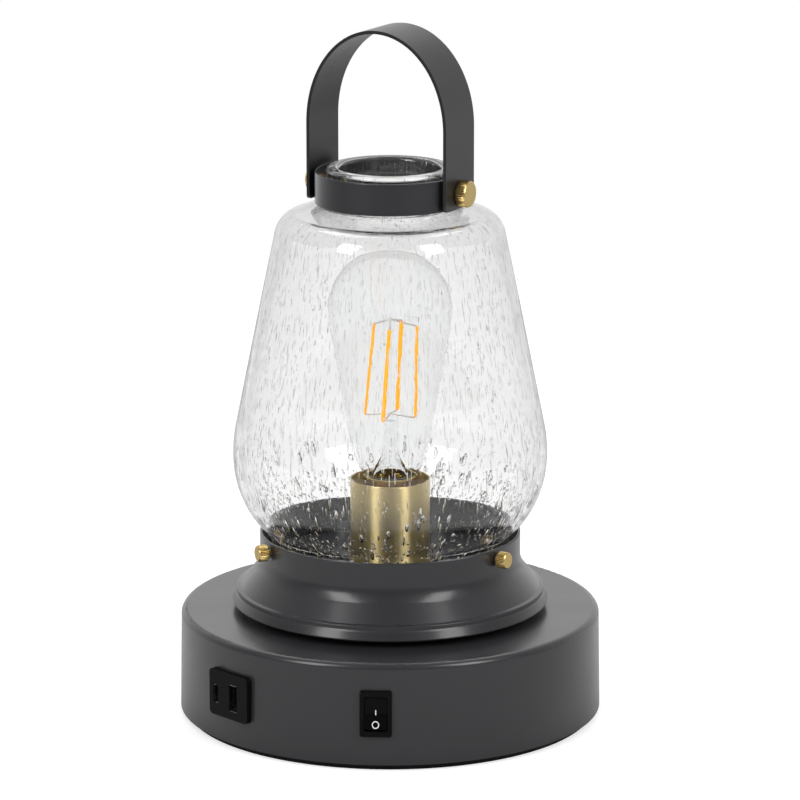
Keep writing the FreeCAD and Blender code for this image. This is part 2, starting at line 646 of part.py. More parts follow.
# ==== glass shade ================================================================================
def glass_corners():
    """Outside of the glass from the skirt's foot up to the root of the neck."""
    cone = math.tan(math.radians(CONE_SLOPE))
    slope = math.tan(math.radians(SHOULDER_SLOPE))
    shoulder_z = NECK_Z - slope * (SHOULDER_RADIUS - GLASS_NECK_RADIUS)
    belly_top_z = shoulder_z - (GLASS_BELLY_RADIUS - SHOULDER_RADIUS) / cone
    belly_z = belly_top_z - GLASS_WAIST_BEND * math.tan(math.radians(CONE_SLOPE / 2))
    bowl_z = belly_z - BOWL_DROP
    skirt_z = RIM_Z + SKIRT_RISE
    bowl_slope = math.atan2(bowl_z - skirt_z, GLASS_BELLY_RADIUS - GLASS_SKIRT_RADIUS)
    bowl_bend = BOWL_DROP / math.tan(math.pi / 4 - bowl_slope / 2) - SKIRT_FILLET
    return [(GLASS_SKIRT_RADIUS, FLOOR_Z, 0), (GLASS_SKIRT_RADIUS, skirt_z, SKIRT_FILLET),
            (GLASS_BELLY_RADIUS, bowl_z, bowl_bend),
            (GLASS_BELLY_RADIUS, belly_top_z, GLASS_WAIST_BEND),
            (SHOULDER_RADIUS, shoulder_z, GLASS_SHOULDER_BEND),
            (GLASS_NECK_RADIUS, NECK_Z, GLASS_NECK_FILLET)]


def glass_shade():
    """Blown shade: skirt, bowl, cone, shoulder and a thick neck with a rounded mouth."""
    outside = glass_corners()
    inside = inset(outside + [(GLASS_NECK_RADIUS, MOUTH_Z, 0)], GLASS_WALL)
    neck_inner = GLASS_NECK_RADIUS - GLASS_NECK_WALL
    slope = math.tan(math.radians(SHOULDER_SLOPE))
    root = inside[3]
    neck_root_z = root[1] + slope * (root[0] - neck_inner)
    inside = inside[:4] + [(neck_inner, neck_root_z, 2 * GLASS_NECK_FILLET)]
    mouth = [(GLASS_NECK_RADIUS, MOUTH_Z, GLASS_MOUTH_ROUND), (neck_inner, MOUTH_Z, GLASS_MOUTH_ROUND)]
    foot = [(GLASS_SKIRT_RADIUS - GLASS_WALL, FLOOR_Z)]
    return revolved(outside + mouth + inside[::-1] + foot)


# ==== collar and handle ==========================================================================
def handle_screw_hole(radius, side):
    """Radial hole at one side of the neck."""
    azimuth = HANDLE_AZIMUTH + (0 if side > 0 else 180)
    start = polar(GLASS_NECK_RADIUS, azimuth, HANDLE_PIVOT_Z)
    return Part.makeCylinder(radius, HANDLE_HOLE_REACH, start, polar(1, azimuth, 0))


def collar_band():
    inner = COLLAR_RADIUS - COLLAR_SHEET
    band = revolved([(inner, COLLAR_LOW, COLLAR_EDGE_IN), (COLLAR_RADIUS, COLLAR_LOW, COLLAR_EDGE_OUT),
                     (COLLAR_RADIUS, COLLAR_TOP, COLLAR_EDGE_OUT), (inner, COLLAR_TOP, COLLAR_EDGE_IN)])
    for side in (1, -1):
        band = band.cut(handle_screw_hole(HANDLE_SCREW_RADIUS + THREAD_GAP, side))
    return band


def handle_strap():
    """Flat bar bent to a half ellipse, drawn in the YZ plane with the right leg at -Y, then turned."""
    inner = COLLAR_RADIUS + STRAP_GAP
    outer = inner + STRAP_THICKNESS
    low = COLLAR_LOW + STRAP_LIFT
    spring = low + STRAP_RISE
    half = STRAP_WIDTH / 2

    def legs(radius):
        return V(-half, -radius, low), V(-half, -radius, spring), V(-half, radius, spring), V(-half, radius, low)

    def arch(radius, rise):
        ellipse = Part.Ellipse(V(-half, 0, spring + rise), V(-half, radius, spring), V(-half, 0, spring))
        return Part.ArcOfEllipse(ellipse, -math.pi / 2, math.pi / 2).toShape()

    a, b = legs(outer), legs(inner)
    edges = [Part.LineSegment(a[0], a[1]).toShape(), arch(outer, ARCH_RISE),
             Part.LineSegment(a[2], a[3]).toShape(), Part.LineSegment(a[3], b[3]).toShape(),
             Part.LineSegment(b[3], b[2]).toShape(), arch(inner, ARCH_RISE - STRAP_THICKNESS),
             Part.LineSegment(b[1], b[0]).toShape(), Part.LineSegment(b[0], a[0]).toShape()]
    strap = Part.Face(Part.Wire(edges)).extrude(V(STRAP_WIDTH, 0, 0))
    corners = [e for e in strap.Edges
               if abs(e.CenterOfMass.z - low) < 1e-6 and abs(e.tangentAt(e.FirstParameter).y) > 0.99]
    strap = turned(strap.makeFillet(STRAP_CORNER, corners), HANDLE_AZIMUTH)
    for side in (1, -1):
        strap = strap.cut(handle_screw_hole(HANDLE_SCREW_RADIUS + SCREW_CLEARANCE, side))
    return strap


def handle_screw(side):
    strap_face = COLLAR_RADIUS + STRAP_GAP + STRAP_THICKNESS
    screw = knurled_screw(HANDLE_SCREW_RADIUS, GLASS_NECK_RADIUS + TIP_GAP, strap_face, HANDLE_HEAD_RADIUS,
                          HANDLE_HEAD_LENGTH, HANDLE_KNURLS, HANDLE_HEAD_GAP)
    screw.translate(V(0, 0, HANDLE_PIVOT_Z))
    return turned(screw, HANDLE_AZIMUTH + (0 if side > 0 else 180))


# ==== lamp holder ================================================================================
def socket_cup():
    """Brass cup round the lamp holder, clamped by the upper pipe nut."""
    inner = CUP_RADIUS - CUP_SHEET
    bore = PIPE_RADIUS + PIPE_CLEARANCE
    return revolved([(bore, FLOOR_Z), (CUP_RADIUS, FLOOR_Z, CUP_FLOOR + CUP_CORNER),
                     (CUP_RADIUS, CUP_TOP, CUP_LIP_ROUND), (inner, CUP_TOP, CUP_LIP_ROUND),
                     (inner, FLOOR_Z + CUP_FLOOR, CUP_CORNER), (bore, FLOOR_Z + CUP_FLOOR)])


def lead_places():
    """Offsets of the two leads from the lamp's axis."""
    return [V(-LEAD_OFFSET, 0, 0), V(LEAD_OFFSET, 0, 0)]


def socket_insulator():
    """Moulded holder on the pipe, with a well for the screw shell."""
    body = ring(HOLDER_RADIUS, 0, HOLDER_Z, HOLDER_Z + HOLDER_HEIGHT)
    body = body.cut(ring(HOLDER_BORE, 0, HOLDER_FLOOR_Z, HOLDER_Z + HOLDER_HEIGHT))
    body = body.cut(ring(PIPE_RADIUS + THREAD_GAP, 0, HOLDER_Z, PIPE_TOP + 0.5))
    return body.cut(ring(LEAD_HOLE_RADIUS, 0, HOLDER_Z, HOLDER_FLOOR_Z))


def socket_shell():
    """Screw shell of the holder, with a flange on the well's floor."""
    inner = SHELL_RADIUS - SHELL_SHEET
    top = HOLDER_FLOOR_Z + SHELL_HEIGHT
    return revolved([(SHELL_FLANGE_BORE, HOLDER_FLOOR_Z), (SHELL_RADIUS, HOLDER_FLOOR_Z),
                     (SHELL_RADIUS, top), (inner, top), (inner, HOLDER_FLOOR_Z + SHELL_SHEET),
                     (SHELL_FLANGE_BORE, HOLDER_FLOOR_Z + SHELL_SHEET)])


def socket_contact():
    """Bent spring tongue under the bulb's tip, on the well's floor."""
    half = CONTACT_WIDTH / 2
    foot = HOLDER_FLOOR_Z
    top = HOLDER_FLOOR_Z + SHELL_SHEET + CONTACT_RISE
    reach = CONTACT_LENGTH / 2
    points = [V(-half, -reach, foot), V(-half, -reach / 2, foot), V(-half, reach / 4, top - CONTACT_SHEET),
              V(-half, reach / 2, top - CONTACT_SHEET), V(-half, reach / 2, top), V(-half, reach / 6, top),
              V(-half, -reach / 2 - CONTACT_SHEET / 2, foot + CONTACT_SHEET), V(-half, -reach, foot + CONTACT_SHEET)]
    return Part.Face(Part.makePolygon(points + points[:1])).extrude(V(CONTACT_WIDTH, 0, 0))


# ==== bulb =======================================================================================
def bulb_cap():
    """Threaded cap, its thread drawn as rings of the thread's pitch and depth."""
    root = CAP_RADIUS - CAP_THREAD_DEPTH
    outside = [(CAP_TIP_RADIUS + 2, CAP_LOW), (root, CAP_LOW)]
    for i in range(CAP_THREAD_TURNS):
        crest = CAP_LOW + (i + 0.5) * CAP_THREAD_PITCH
        outside.append((CAP_RADIUS, crest, 0.6))
        outside.append((root, crest + CAP_THREAD_PITCH / 2, 0.6))
    outside += [(CAP_RADIUS, CAP_TOP - CAP_SKIRT + 1, 0.6), (CAP_RADIUS, CAP_TOP)]
    bore = root - CAP_SHEET
    inside = [(bore, CAP_TOP), (bore, CAP_LOW + CAP_SHEET), (CAP_TIP_RADIUS + 2, CAP_LOW + CAP_SHEET)]
    return revolved(outside + inside)


def bulb_insulator():
    """Black glass cone between the cap and its tip."""
    low = BULB_TIP_Z + CAP_TIP_HEIGHT
    return revolved([(0, low), (CAP_TIP_RADIUS, low), (CAP_RADIUS - CAP_THREAD_DEPTH, CAP_LOW), (0, CAP_LOW)])


def bulb_tip():
    """Solder tip of the bulb."""
    return revolved([(0, BULB_TIP_Z), (CAP_TIP_RADIUS - 1.2, BULB_TIP_Z, 0.5),
                     (CAP_TIP_RADIUS, BULB_TIP_Z + CAP_TIP_HEIGHT), (0, BULB_TIP_Z + CAP_TIP_HEIGHT)])


def bulb_glass():
    """Long pear-shaped envelope, open where the cap is cemented on."""
    top = CAP_TOP + BULB_LENGTH
    sleeve = SLEEVE_RADIUS
    outside = [(sleeve, CAP_TOP - BULB_SLEEVE), (sleeve, CAP_TOP + 0.4), (BULB_NECK_RADIUS, CAP_TOP + 1.0),
               (BULB_THROAT_RADIUS, CAP_TOP + BULB_THROAT_HEIGHT, BULB_THROAT_BEND),
               (BULB_RADIUS, top - BULB_WIDEST_DROP, BULB_SIDE_BEND), (BULB_RADIUS, top, BULB_DOME_BEND), (0, top)]
    inner = BULB_RADIUS - BULB_WALL
    side = math.atan2(BULB_RADIUS - BULB_THROAT_RADIUS, BULB_LENGTH - BULB_WIDEST_DROP - BULB_THROAT_HEIGHT)
    drop = BULB_WALL * math.tan(side / 2)
    inside = [(0, top - BULB_WALL), (inner, top - BULB_WALL, BULB_DOME_BEND - BULB_WALL),
              (inner, top - BULB_WIDEST_DROP + drop, BULB_SIDE_BEND - BULB_WALL),
              (BULB_THROAT_RADIUS - BULB_WALL, CAP_TOP + BULB_THROAT_HEIGHT + drop, BULB_THROAT_BEND - BULB_WALL),
              (sleeve - BULB_WALL, CAP_TOP), (sleeve - BULB_WALL, CAP_TOP - BULB_SLEEVE)]
    return revolved(outside + inside)


def bulb_stem():
    """Glass stem, flared where it is sealed to the envelope, with a rod up to the upper wires."""
    low = CAP_TOP - BULB_SLEEVE
    waist = low + STEM_FLARE_HEIGHT
    top = CAP_TOP + STEM_HEIGHT
    rod_top = CAP_TOP + FILAMENT_HIGH + WIRE_RISE
    bore = STEM_RADIUS - STEM_WALL
    return revolved([(STEM_FLARE_RADIUS, low), (STEM_FLARE_RADIUS, low + STEM_RIM, STEM_RIM),
                     (STEM_RADIUS, waist, STEM_WAIST_BEND), (STEM_RADIUS, top, STEM_CROWN_ROUND),
                     (STEM_ROD_RADIUS, top), (STEM_ROD_RADIUS, rod_top), (0, rod_top),
                     (0, top - STEM_CROWN), (bore, top - STEM_CROWN),
                     (bore, waist - STEM_BORE_STEP, STEM_BORE_BEND), (STEM_FLARE_RADIUS - STEM_WALL, low)])


def filament_ends(i):
    """Lower and upper end of a filament."""
    azimuth = FILAMENT_AZIMUTH + 360 * i / FILAMENT_COUNT
    return (polar(FILAMENT_LOW_RADIUS, azimuth, CAP_TOP + FILAMENT_LOW),
            polar(FILAMENT_HIGH_RADIUS, azimuth, CAP_TOP + FILAMENT_HIGH) + V(FILAMENT_LEAN, 0, 0))


def bulb_filaments():
    """Flat filament strips round the stem's axis, leaning in and to the right at their upper ends."""
    strips = []
    for i in range(FILAMENT_COUNT):
        low, high = filament_ends(i)
        strip = Part.makeBox(FILAMENT_WIDTH, FILAMENT_THICKNESS, (high - low).Length,
                             V(-FILAMENT_WIDTH / 2, -FILAMENT_THICKNESS / 2, 0))
        strip = turned(strip, FILAMENT_AZIMUTH + 360 * i / FILAMENT_COUNT)
        lean = FreeCAD.Rotation(V(0, 0, 1), high - low)
        strip.rotate(ORIGIN, lean.Axis, math.degrees(lean.Angle))
        strip.translate(low)
        strips.append(strip)
    return Part.makeCompound(strips)


def rod(start, end, radius):
    """Round wire from one point to another."""
    return Part.makeCylinder(radius, (end - start).Length, start, end - start)


def bulb_wires():
    """Lower wires out of the stem's top and the upper spider on the end of its rod."""
    hub_low = V(0, 0, CAP_TOP + STEM_HEIGHT)
    hub_high = V(0, 0, CAP_TOP + FILAMENT_HIGH + WIRE_RISE)
    wires = Part.makeSphere(STEM_ROD_RADIUS, hub_high)
    for i in range(FILAMENT_COUNT):
        low, high = filament_ends(i)
        wires = wires.fuse(rod(hub_low + V(0, 0, WIRE_RADIUS), low - V(0, 0, WIRE_RADIUS), WIRE_RADIUS))
        wires = wires.fuse(rod(hub_high, high + V(0, 0, WIRE_RADIUS), WIRE_RADIUS))
    return wires.cut(bulb_filaments()).cut(bulb_stem())


# ==== rocker switch ==============================================================================
def switch_face():
    """Distance of the bezel's face from the lamp's axis."""
    return wall_radius(SWITCH_HEIGHT) + BEZEL_PROUD


def rocker_axis():
    return V(0, -(switch_face() - ROCKER_AXIS_DEPTH), SWITCH_HEIGHT)


def terminal_blades(length_in, length_out):
    """Two flat blades behind the switch body."""
    back = -switch_face() + SWITCH_BODY_DEPTH
    blades = []
    for side in (1, -1):
        z = SWITCH_HEIGHT + side * TERMINAL_SPACING / 2 - TERMINAL_SHEET / 2
        blades.append(Part.makeBox(TERMINAL_WIDTH, length_in + length_out, TERMINAL_SHEET,
                                   V(-TERMINAL_WIDTH / 2, back - length_in, z)))
    return Part.makeCompound(blades)


def switch_housing():
    """Bezel and body in one moulding, with the rocker's well and its pivot bores."""
    bezel = rounded_block(BEZEL_WIDTH, BEZEL_HEIGHT, BEZEL_PROUD + BEHIND_WALL, BEZEL_CORNER,
                          switch_face(), SWITCH_HEIGHT)
    bezel = bezel.cut(drum_core(0))
    well = rounded_block(WELL_WIDTH, WELL_HEIGHT, WELL_DEPTH, WELL_CORNER, switch_face(), SWITCH_HEIGHT)
    reach = ROCKER_WIDTH / 2 + ROCKER_PIN_REACH + 0.1
    bore = Part.makeCylinder(ROCKER_PIN_RADIUS + ROCKER_PIN_GAP, 2 * reach, rocker_axis() - V(reach, 0, 0),
                             V(1, 0, 0))
    housing = bezel.fuse(switch_cutout(0)).cut(well).cut(bore).cut(terminal_blades(TERMINAL_ROOT, 1))
    return housing.removeSplitter()


def switch_rocker():
    """Rocker with a shallow V face and pivot pins, stored with its upper end pressed in."""
    angle = math.asin(ROCKER_END_LIFT / ROCKER_SWEEP)
    half = ROCKER_SWEEP * math.cos(angle)
    back_angle = math.asin(-ROCKER_END_LIFT / ROCKER_SWEEP)
    axis = rocker_axis()

    def at(out, z):
        return V(axis.x - ROCKER_WIDTH / 2, axis.y - out, axis.z + z)

    def end_arc(side):
        return (at(ROCKER_END_LIFT, side * half), at(0, side * ROCKER_SWEEP),
                at(ROCKER_SWEEP * math.sin(back_angle), side * ROCKER_SWEEP * math.cos(back_angle)))

    upper, lower = end_arc(1), end_arc(-1)
    low_back, high_back = at(-ROCKER_BACK - 1, -half / 2), at(-ROCKER_BACK - 1, half / 2)
    middle = at(ROCKER_MIDDLE_LIFT, 0)
    edges = [Part.Arc(*upper).toShape(), Part.LineSegment(upper[2], high_back).toShape(),
             Part.LineSegment(high_back, low_back).toShape(), Part.LineSegment(low_back, lower[2]).toShape(),
             Part.Arc(lower[2], lower[1], lower[0]).toShape(), Part.LineSegment(lower[0], middle).toShape(),
             Part.LineSegment(middle, upper[0]).toShape()]
    body = Part.Face(Part.Wire(edges)).extrude(V(ROCKER_WIDTH, 0, 0))
    reach = ROCKER_WIDTH / 2 + ROCKER_PIN_REACH
    pin = Part.makeCylinder(ROCKER_PIN_RADIUS, 2 * reach, axis - V(reach, 0, 0), V(1, 0, 0))
    rocker = body.fuse(pin).removeSplitter()
    rocker.rotate(axis, V(1, 0, 0), -ROCKER_TILT)
    return rocker


# ==== charging module ============================================================================
def module_face():
    """Distance of the module plate's face from the lamp's axis."""
    return wall_radius(MODULE_HEIGHT) + PLATE_PROUD


def port_block(width, height, depth, offset, start):
    """Upright block for a port, its mouth a start behind the plate's face, its corners rounded."""
    corner = min(width / 2 - 0.05, 1.55) if height < 10 else 0.4
    return rounded_block(width, height, depth, corner, module_face() - start, MODULE_HEIGHT - PORT_DROP, offset)


def module_housing():
    """Face plate and box in one moulding, open at the back."""
    plate = rounded_block(PLATE_WIDTH, PLATE_HEIGHT, PLATE_PROUD + BEHIND_WALL, PLATE_CORNER,
                          module_face(), MODULE_HEIGHT)
    body = plate.cut(drum_core(0)).fuse(module_cutout(0))
    front = PORT_A_DEPTH + PORT_RECESS
    hollow = rounded_block(MODULE_BODY_WIDTH - 2 * MODULE_WALL, MODULE_BODY_HEIGHT - 2 * MODULE_WALL,
                           MODULE_DEPTH - front, 0, module_face() - front, MODULE_HEIGHT)
    body = body.cut(hollow)
    body = body.cut(port_block(PORT_A_WIDTH, PORT_A_HEIGHT, front, PORT_A_OFFSET, 0))
    body = body.cut(port_block(PORT_C_WIDTH, PORT_C_HEIGHT, PORT_C_DEPTH + PORT_RECESS, PORT_C_OFFSET, 0))
    return turned(body.removeSplitter(), MODULE_AZIMUTH)


def port_shell(width, height, depth, offset):
    """Folded metal shell of a port, closed at its back."""
    shell = port_block(width, height, depth, offset, PORT_RECESS)
    mouth = port_block(width - 2 * PORT_SHEET, height - 2 * PORT_SHEET, depth - PORT_SHEET, offset, PORT_RECESS)
    return turned(shell.cut(mouth), MODULE_AZIMUTH)


def port_tongue(sizes, depth, offset):
    """Contact tongue of a port, on the back of its shell."""
    thickness, width, length = sizes
    start = PORT_RECESS + depth - PORT_SHEET - length
    tongue = rounded_block(thickness, width, length, 0, module_face() - start, MODULE_HEIGHT - PORT_DROP, offset)
    return turned(tongue, MODULE_AZIMUTH)


def module_board():
    """Circuit board standing in the hollow behind the ports."""
    front = PORT_A_DEPTH + PORT_RECESS + BOARD_MARGIN
    depth = MODULE_DEPTH - MODULE_COVER - BOARD_MARGIN - front
    board = rounded_block(BOARD_THICKNESS, MODULE_BODY_HEIGHT - 2 * MODULE_WALL, depth, 0,
                          module_face() - front, MODULE_HEIGHT, PORT_A_OFFSET)
    return turned(board, MODULE_AZIMUTH)


def module_cover():
    """Lid in the back of the module's box."""
    lid = rounded_block(MODULE_BODY_WIDTH - 2 * MODULE_WALL, MODULE_BODY_HEIGHT - 2 * MODULE_WALL,
                        MODULE_COVER, 0, module_face() - MODULE_DEPTH + MODULE_COVER, MODULE_HEIGHT)
    return turned(lid, MODULE_AZIMUTH)


# ==== cord inlet and leads =======================================================================
def cord_bushing():
    """Flanged rubber bushing in the wall's inlet hole."""
    outer = DRUM_RADIUS + INLET_FLANGE
    inner = DRUM_RADIUS - SHEET - INLET_INNER_REACH
    barrel = inlet_cylinder(INLET_HOLE_RADIUS, outer, inner)
    flange = inlet_cylinder(INLET_FLANGE_RADIUS, outer, DRUM_RADIUS - 3).cut(drum_core(0))
    lip = inlet_cylinder(INLET_FLANGE_RADIUS, DRUM_RADIUS, inner).common(drum_core(SHEET))
    bore = inlet_cylinder(INLET_BORE_RADIUS, outer, inner)
    return barrel.fuse(flange).fuse(lip).cut(bore).removeSplitter()


def lead(start, offset_x, direction):
    """Lead from a start point in to the lamp's axis and up through the pipe."""
    side = V(offset_x, 0, 0)
    low = V(0, 0, start.z)
    bend_in = side + low - V(0, direction * LEAD_BEND, 0)
    corner = side + low + V(0, -direction * LEAD_BEND * (1 - math.sin(math.pi / 4)),
                            LEAD_BEND * (1 - math.cos(math.pi / 4)))
    bend_up = side + low + V(0, 0, LEAD_BEND)
    top = side + V(0, 0, HOLDER_FLOOR_Z - 1.0)
    path = Part.Wire([Part.LineSegment(V(offset_x, start.y, start.z), bend_in).toShape(),
                      Part.Arc(bend_in, corner, bend_up).toShape(), Part.LineSegment(bend_up, top).toShape()])
    section = Part.Wire([Part.Circle(V(offset_x, start.y, start.z), V(0, direction, 0), LEAD_RADIUS).toShape()])
    return path.makePipeShell([section], True, False)


def lead_starts():
    """Where the leads begin: at the switch's lower blade and at the crimp cap near the inlet."""
    blade_end = -switch_face() + SWITCH_BODY_DEPTH + TERMINAL_LENGTH
    z = SWITCH_HEIGHT - TERMINAL_SPACING / 2
    return V(0, blade_end, z), V(0, LEAD_BACK_REACH, z)


def lamp_leads():
    front, back = lead_starts()
    return Part.makeCompound([lead(front, -LEAD_OFFSET, 1), lead(back, LEAD_OFFSET, -1)])


def crimp_cap():
    """Closed cap where the second lead meets the supply."""
    back = lead_starts()[1]
    return Part.makeCylinder(CRIMP_RADIUS, CRIMP_LENGTH, V(LEAD_OFFSET, back.y, back.z), V(0, 1, 0))


# ==== all nodes ==================================================================================
def build_nodes():
    nodes = {
        "base_drum": base_drum(),
        "cover_tabs": cover_tabs(),
        "cover_screws": cover_screws(),
        "bottom_cover": bottom_cover(),
        "base_pad": base_pad(),
        "ballast_weight": ballast_weight(),
        "ballast_nuts": ballast_nuts(),
        "lamp_pipe": lamp_pipe(),
        "pipe_nuts": pipe_nuts(),
        "pipe_washer": pipe_washer(),
        "gallery": gallery(),
        "gallery_floor": gallery_floor(),
        "gallery_foot": gallery_foot(),
        "glass_shade": glass_shade(),
        "collar_band": collar_band(),
        "handle_strap": handle_strap(),
        "handle_screw_right": handle_screw(1),
        "handle_screw_left": handle_screw(-1),
        "socket_cup": socket_cup(),
        "socket_insulator": socket_insulator(),
        "socket_shell": socket_shell(),
        "socket_contact": socket_contact(),
        "bulb_cap": bulb_cap(),
        "bulb_insulator": bulb_insulator(),
        "bulb_tip": bulb_tip(),
        "bulb_glass": bulb_glass(),
        "bulb_stem": bulb_stem(),
        "bulb_filaments": bulb_filaments(),
        "bulb_wires": bulb_wires(),
        "switch_housing": switch_housing(),
        "switch_rocker": switch_rocker(),
        "switch_terminals": terminal_blades(TERMINAL_ROOT, TERMINAL_LENGTH),
        "module_housing": module_housing(),
        "module_cover": module_cover(),
        "module_board": module_board(),
        "port_a_shell": port_shell(PORT_A_WIDTH, PORT_A_HEIGHT, PORT_A_DEPTH, PORT_A_OFFSET),
        "port_a_tongue": port_tongue(TONGUE_A, PORT_A_DEPTH, PORT_A_OFFSET),
        "port_c_shell": port_shell(PORT_C_WIDTH, PORT_C_HEIGHT, PORT_C_DEPTH, PORT_C_OFFSET),
        "port_c_tongue": port_tongue(TONGUE_C, PORT_C_DEPTH, PORT_C_OFFSET),
        "cord_bushing": cord_bushing(),
        "lamp_leads": lamp_leads(),
        "crimp_cap": crimp_cap(),
    }
    for i in range(GALLERY_SCREW_COUNT):
        nodes["gallery_screw_%d" % (i + 1)] = gallery_screw(i)
    return nodes


os.makedirs("parts", exist_ok=True)
for name, shape in build_nodes().items():
    if not shape.isValid() or not shape.Solids:
        raise ValueError("bad shape: " + name)
    shape.exportStep("parts/" + name + ".step")
    print("%-20s solids %d  volume %.1f mm3" % (name, len(shape.Solids), shape.Volume))
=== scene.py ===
"""Looks of the lantern table lamp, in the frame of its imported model.

Sizes are in millimetres and turn into the scene's metres through MM. Azimuths are in degrees about the
lamp's axis, from -Y, where the switch is, towards +X.
"""

import logging
import math
from dataclasses import dataclass
from enum import Enum
from typing import Any, Protocol

import bmesh
import bpy
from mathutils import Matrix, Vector, noise
from mathutils.bvhtree import BVHTree


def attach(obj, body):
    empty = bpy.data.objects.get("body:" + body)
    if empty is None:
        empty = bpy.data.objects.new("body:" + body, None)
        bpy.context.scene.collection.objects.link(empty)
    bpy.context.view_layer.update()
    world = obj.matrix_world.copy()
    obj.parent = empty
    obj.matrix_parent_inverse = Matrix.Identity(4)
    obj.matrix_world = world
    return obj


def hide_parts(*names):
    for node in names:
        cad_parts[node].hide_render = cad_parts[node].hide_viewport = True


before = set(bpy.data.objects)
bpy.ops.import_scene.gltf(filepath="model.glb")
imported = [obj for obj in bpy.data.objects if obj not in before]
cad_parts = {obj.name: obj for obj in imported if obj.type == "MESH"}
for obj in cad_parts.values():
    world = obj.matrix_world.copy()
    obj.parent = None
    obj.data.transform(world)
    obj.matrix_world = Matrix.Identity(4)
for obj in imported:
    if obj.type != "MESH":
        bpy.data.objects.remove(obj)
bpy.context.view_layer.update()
LOG = logging.getLogger("lantern_lamp")
MM = 0.001
TINY = 1e-6                 # a radius in mm below this is on the axis; vertices this close in metres are one
SHARP_ANGLE = 40.0          # turn between two faces, in degrees, past which their edge looks sharp
SENSOR_WIDTH = 36.0         # width in mm that the camera's focal length refers to
MIXED_NOISE = (0.6, 1.4)    # usual low and high of two noises added up
NO_BOUNCE = 0.5             # a count of bounces below this is none

# How far chance moves a piece of air from its given depth, width, length and place across the wall.
DEPTH_SPREAD, WIDTH_SPREAD, LENGTH_SPREAD, DRIFT_SPREAD = (0.6, 1.0), (0.45, 1.3), (0.4, 1.6), (-1.0, 1.0)

Corner = tuple[float, float, float]     # radius, height and bend of an outline's corner
Point = tuple[float, float]             # radius and height, or another pair of lengths


# ---- small tools --------------------------------------------------------------------------------
def linear(code: str) -> tuple[float, float, float, float]:
    """Turn an sRGB hex colour into linear RGBA.

    Args:
        code: Colour as "#RRGGBB".

    Returns:
        Linear red, green, blue and an alpha of 1.
    """
    parts = [int(code[i:i + 2], 16) / 255 for i in (1, 3, 5)]
    red, green, blue = (p / 12.92 if p <= 0.04045 else ((p + 0.055) / 1.055) ** 2.4 for p in parts)
    return red, green, blue, 1.0


def add_node(tree: bpy.types.NodeTree, kind: str, inputs: dict[Any, Any] | None = None,
             **settings: Any) -> bpy.types.Node:
    """Add a node to a tree, set it up and feed its sockets.

    Args:
        tree: Shader, world or geometry tree.
        kind: Node type.
        inputs: Socket name or number to a plain value, or to the socket that feeds it.
        settings: The node's own properties.

    Returns:
        The new node.
    """
    node = tree.nodes.new(kind)
    for name, value in settings.items():
        setattr(node, name, value)
    for socket, value in (inputs or {}).items():
        if isinstance(value, bpy.types.NodeSocket):
            tree.links.new(value, node.inputs[socket])
        else:
            node.inputs[socket].default_value = value
    return node


def around(radius: float, azimuth: float, height: float) -> Vector:
    """Place in metres from a radius and height in mm and an azimuth in degrees."""
    angle = math.radians(azimuth)
    return Vector((radius * math.sin(angle), -radius * math.cos(angle), height)) * MM


def inset(corners: list[Corner], depth: float) -> list[Corner]:
    """Move the inner corners of an open outline to its left by an even depth.

    Args:
        corners: Outline that climbs the outside of a shell.
        depth: Distance from the old line to the new one.

    Returns:
        The moved corners, without the first and the last, with bends that keep the two lines parallel.
    """
    moved = []
    for before, here, after in zip(corners, corners[1:], corners[2:]):
        back = (Vector(here[:2]) - Vector(before[:2])).normalized()
        ahead = (Vector(after[:2]) - Vector(here[:2])).normalized()
        left_back, left_ahead = Vector((-back.y, back.x)), Vector((-ahead.y, ahead.x))
        middle = (left_back + left_ahead).normalized()
        place = Vector(here[:2]) + middle * (depth / middle.dot(left_back))
        inwards = back.x * ahead.y - back.y * ahead.x > 0
        moved.append((place.x, place.y, here[2] - depth if inwards else here[2] + depth))
    return moved


def rounded(corners: list[Corner], closed: bool, step: float = 4.0, run: float = 6.0) -> list[Point]:
    """Points along an outline, with each corner rounded by its bend.

    Args:
        corners: Outline's corners.
        closed: True where the last corner joins the first.
        step: Largest turn between two points of a bend, in degrees.
        run: Longest straight stretch between two points.

    Returns:
        Radius and height of each point.
    """
    points: list[Vector] = []
    count = len(corners)
    for i, (radius, height, bend) in enumerate(corners):
        here = Vector((radius, height))
        at_end = not closed and i in (0, count - 1)
        if at_end or bend <= 0:
            arc = [here]
        else:
            back = (Vector(corners[i - 1][:2]) - here).normalized()
            ahead = (Vector(corners[(i + 1) % count][:2]) - here).normalized()
            half = back.angle(ahead) / 2
            centre = here + (back + ahead).normalized() * (bend / math.sin(half))
            start = here + back * (bend / math.tan(half)) - centre
            end = here + ahead * (bend / math.tan(half)) - centre
            turn = start.angle_signed(end)
            steps = max(2, math.ceil(abs(math.degrees(turn)) / step))
            arc = []
            for k in range(steps + 1):
                angle = -turn * k / steps
                arc.append(centre + Vector((start.x * math.cos(angle) - start.y * math.sin(angle),
                                            start.x * math.sin(angle) + start.y * math.cos(angle))))
        if points:
            last = points[-1]
            gap = arc[0] - last
            pieces = max(1, math.ceil(gap.length / run))
            points.extend(last + gap * (k / pieces) for k in range(1, pieces))
        points.extend(arc)
    return [(max(p.x, 0.0), p.y) for p in points]


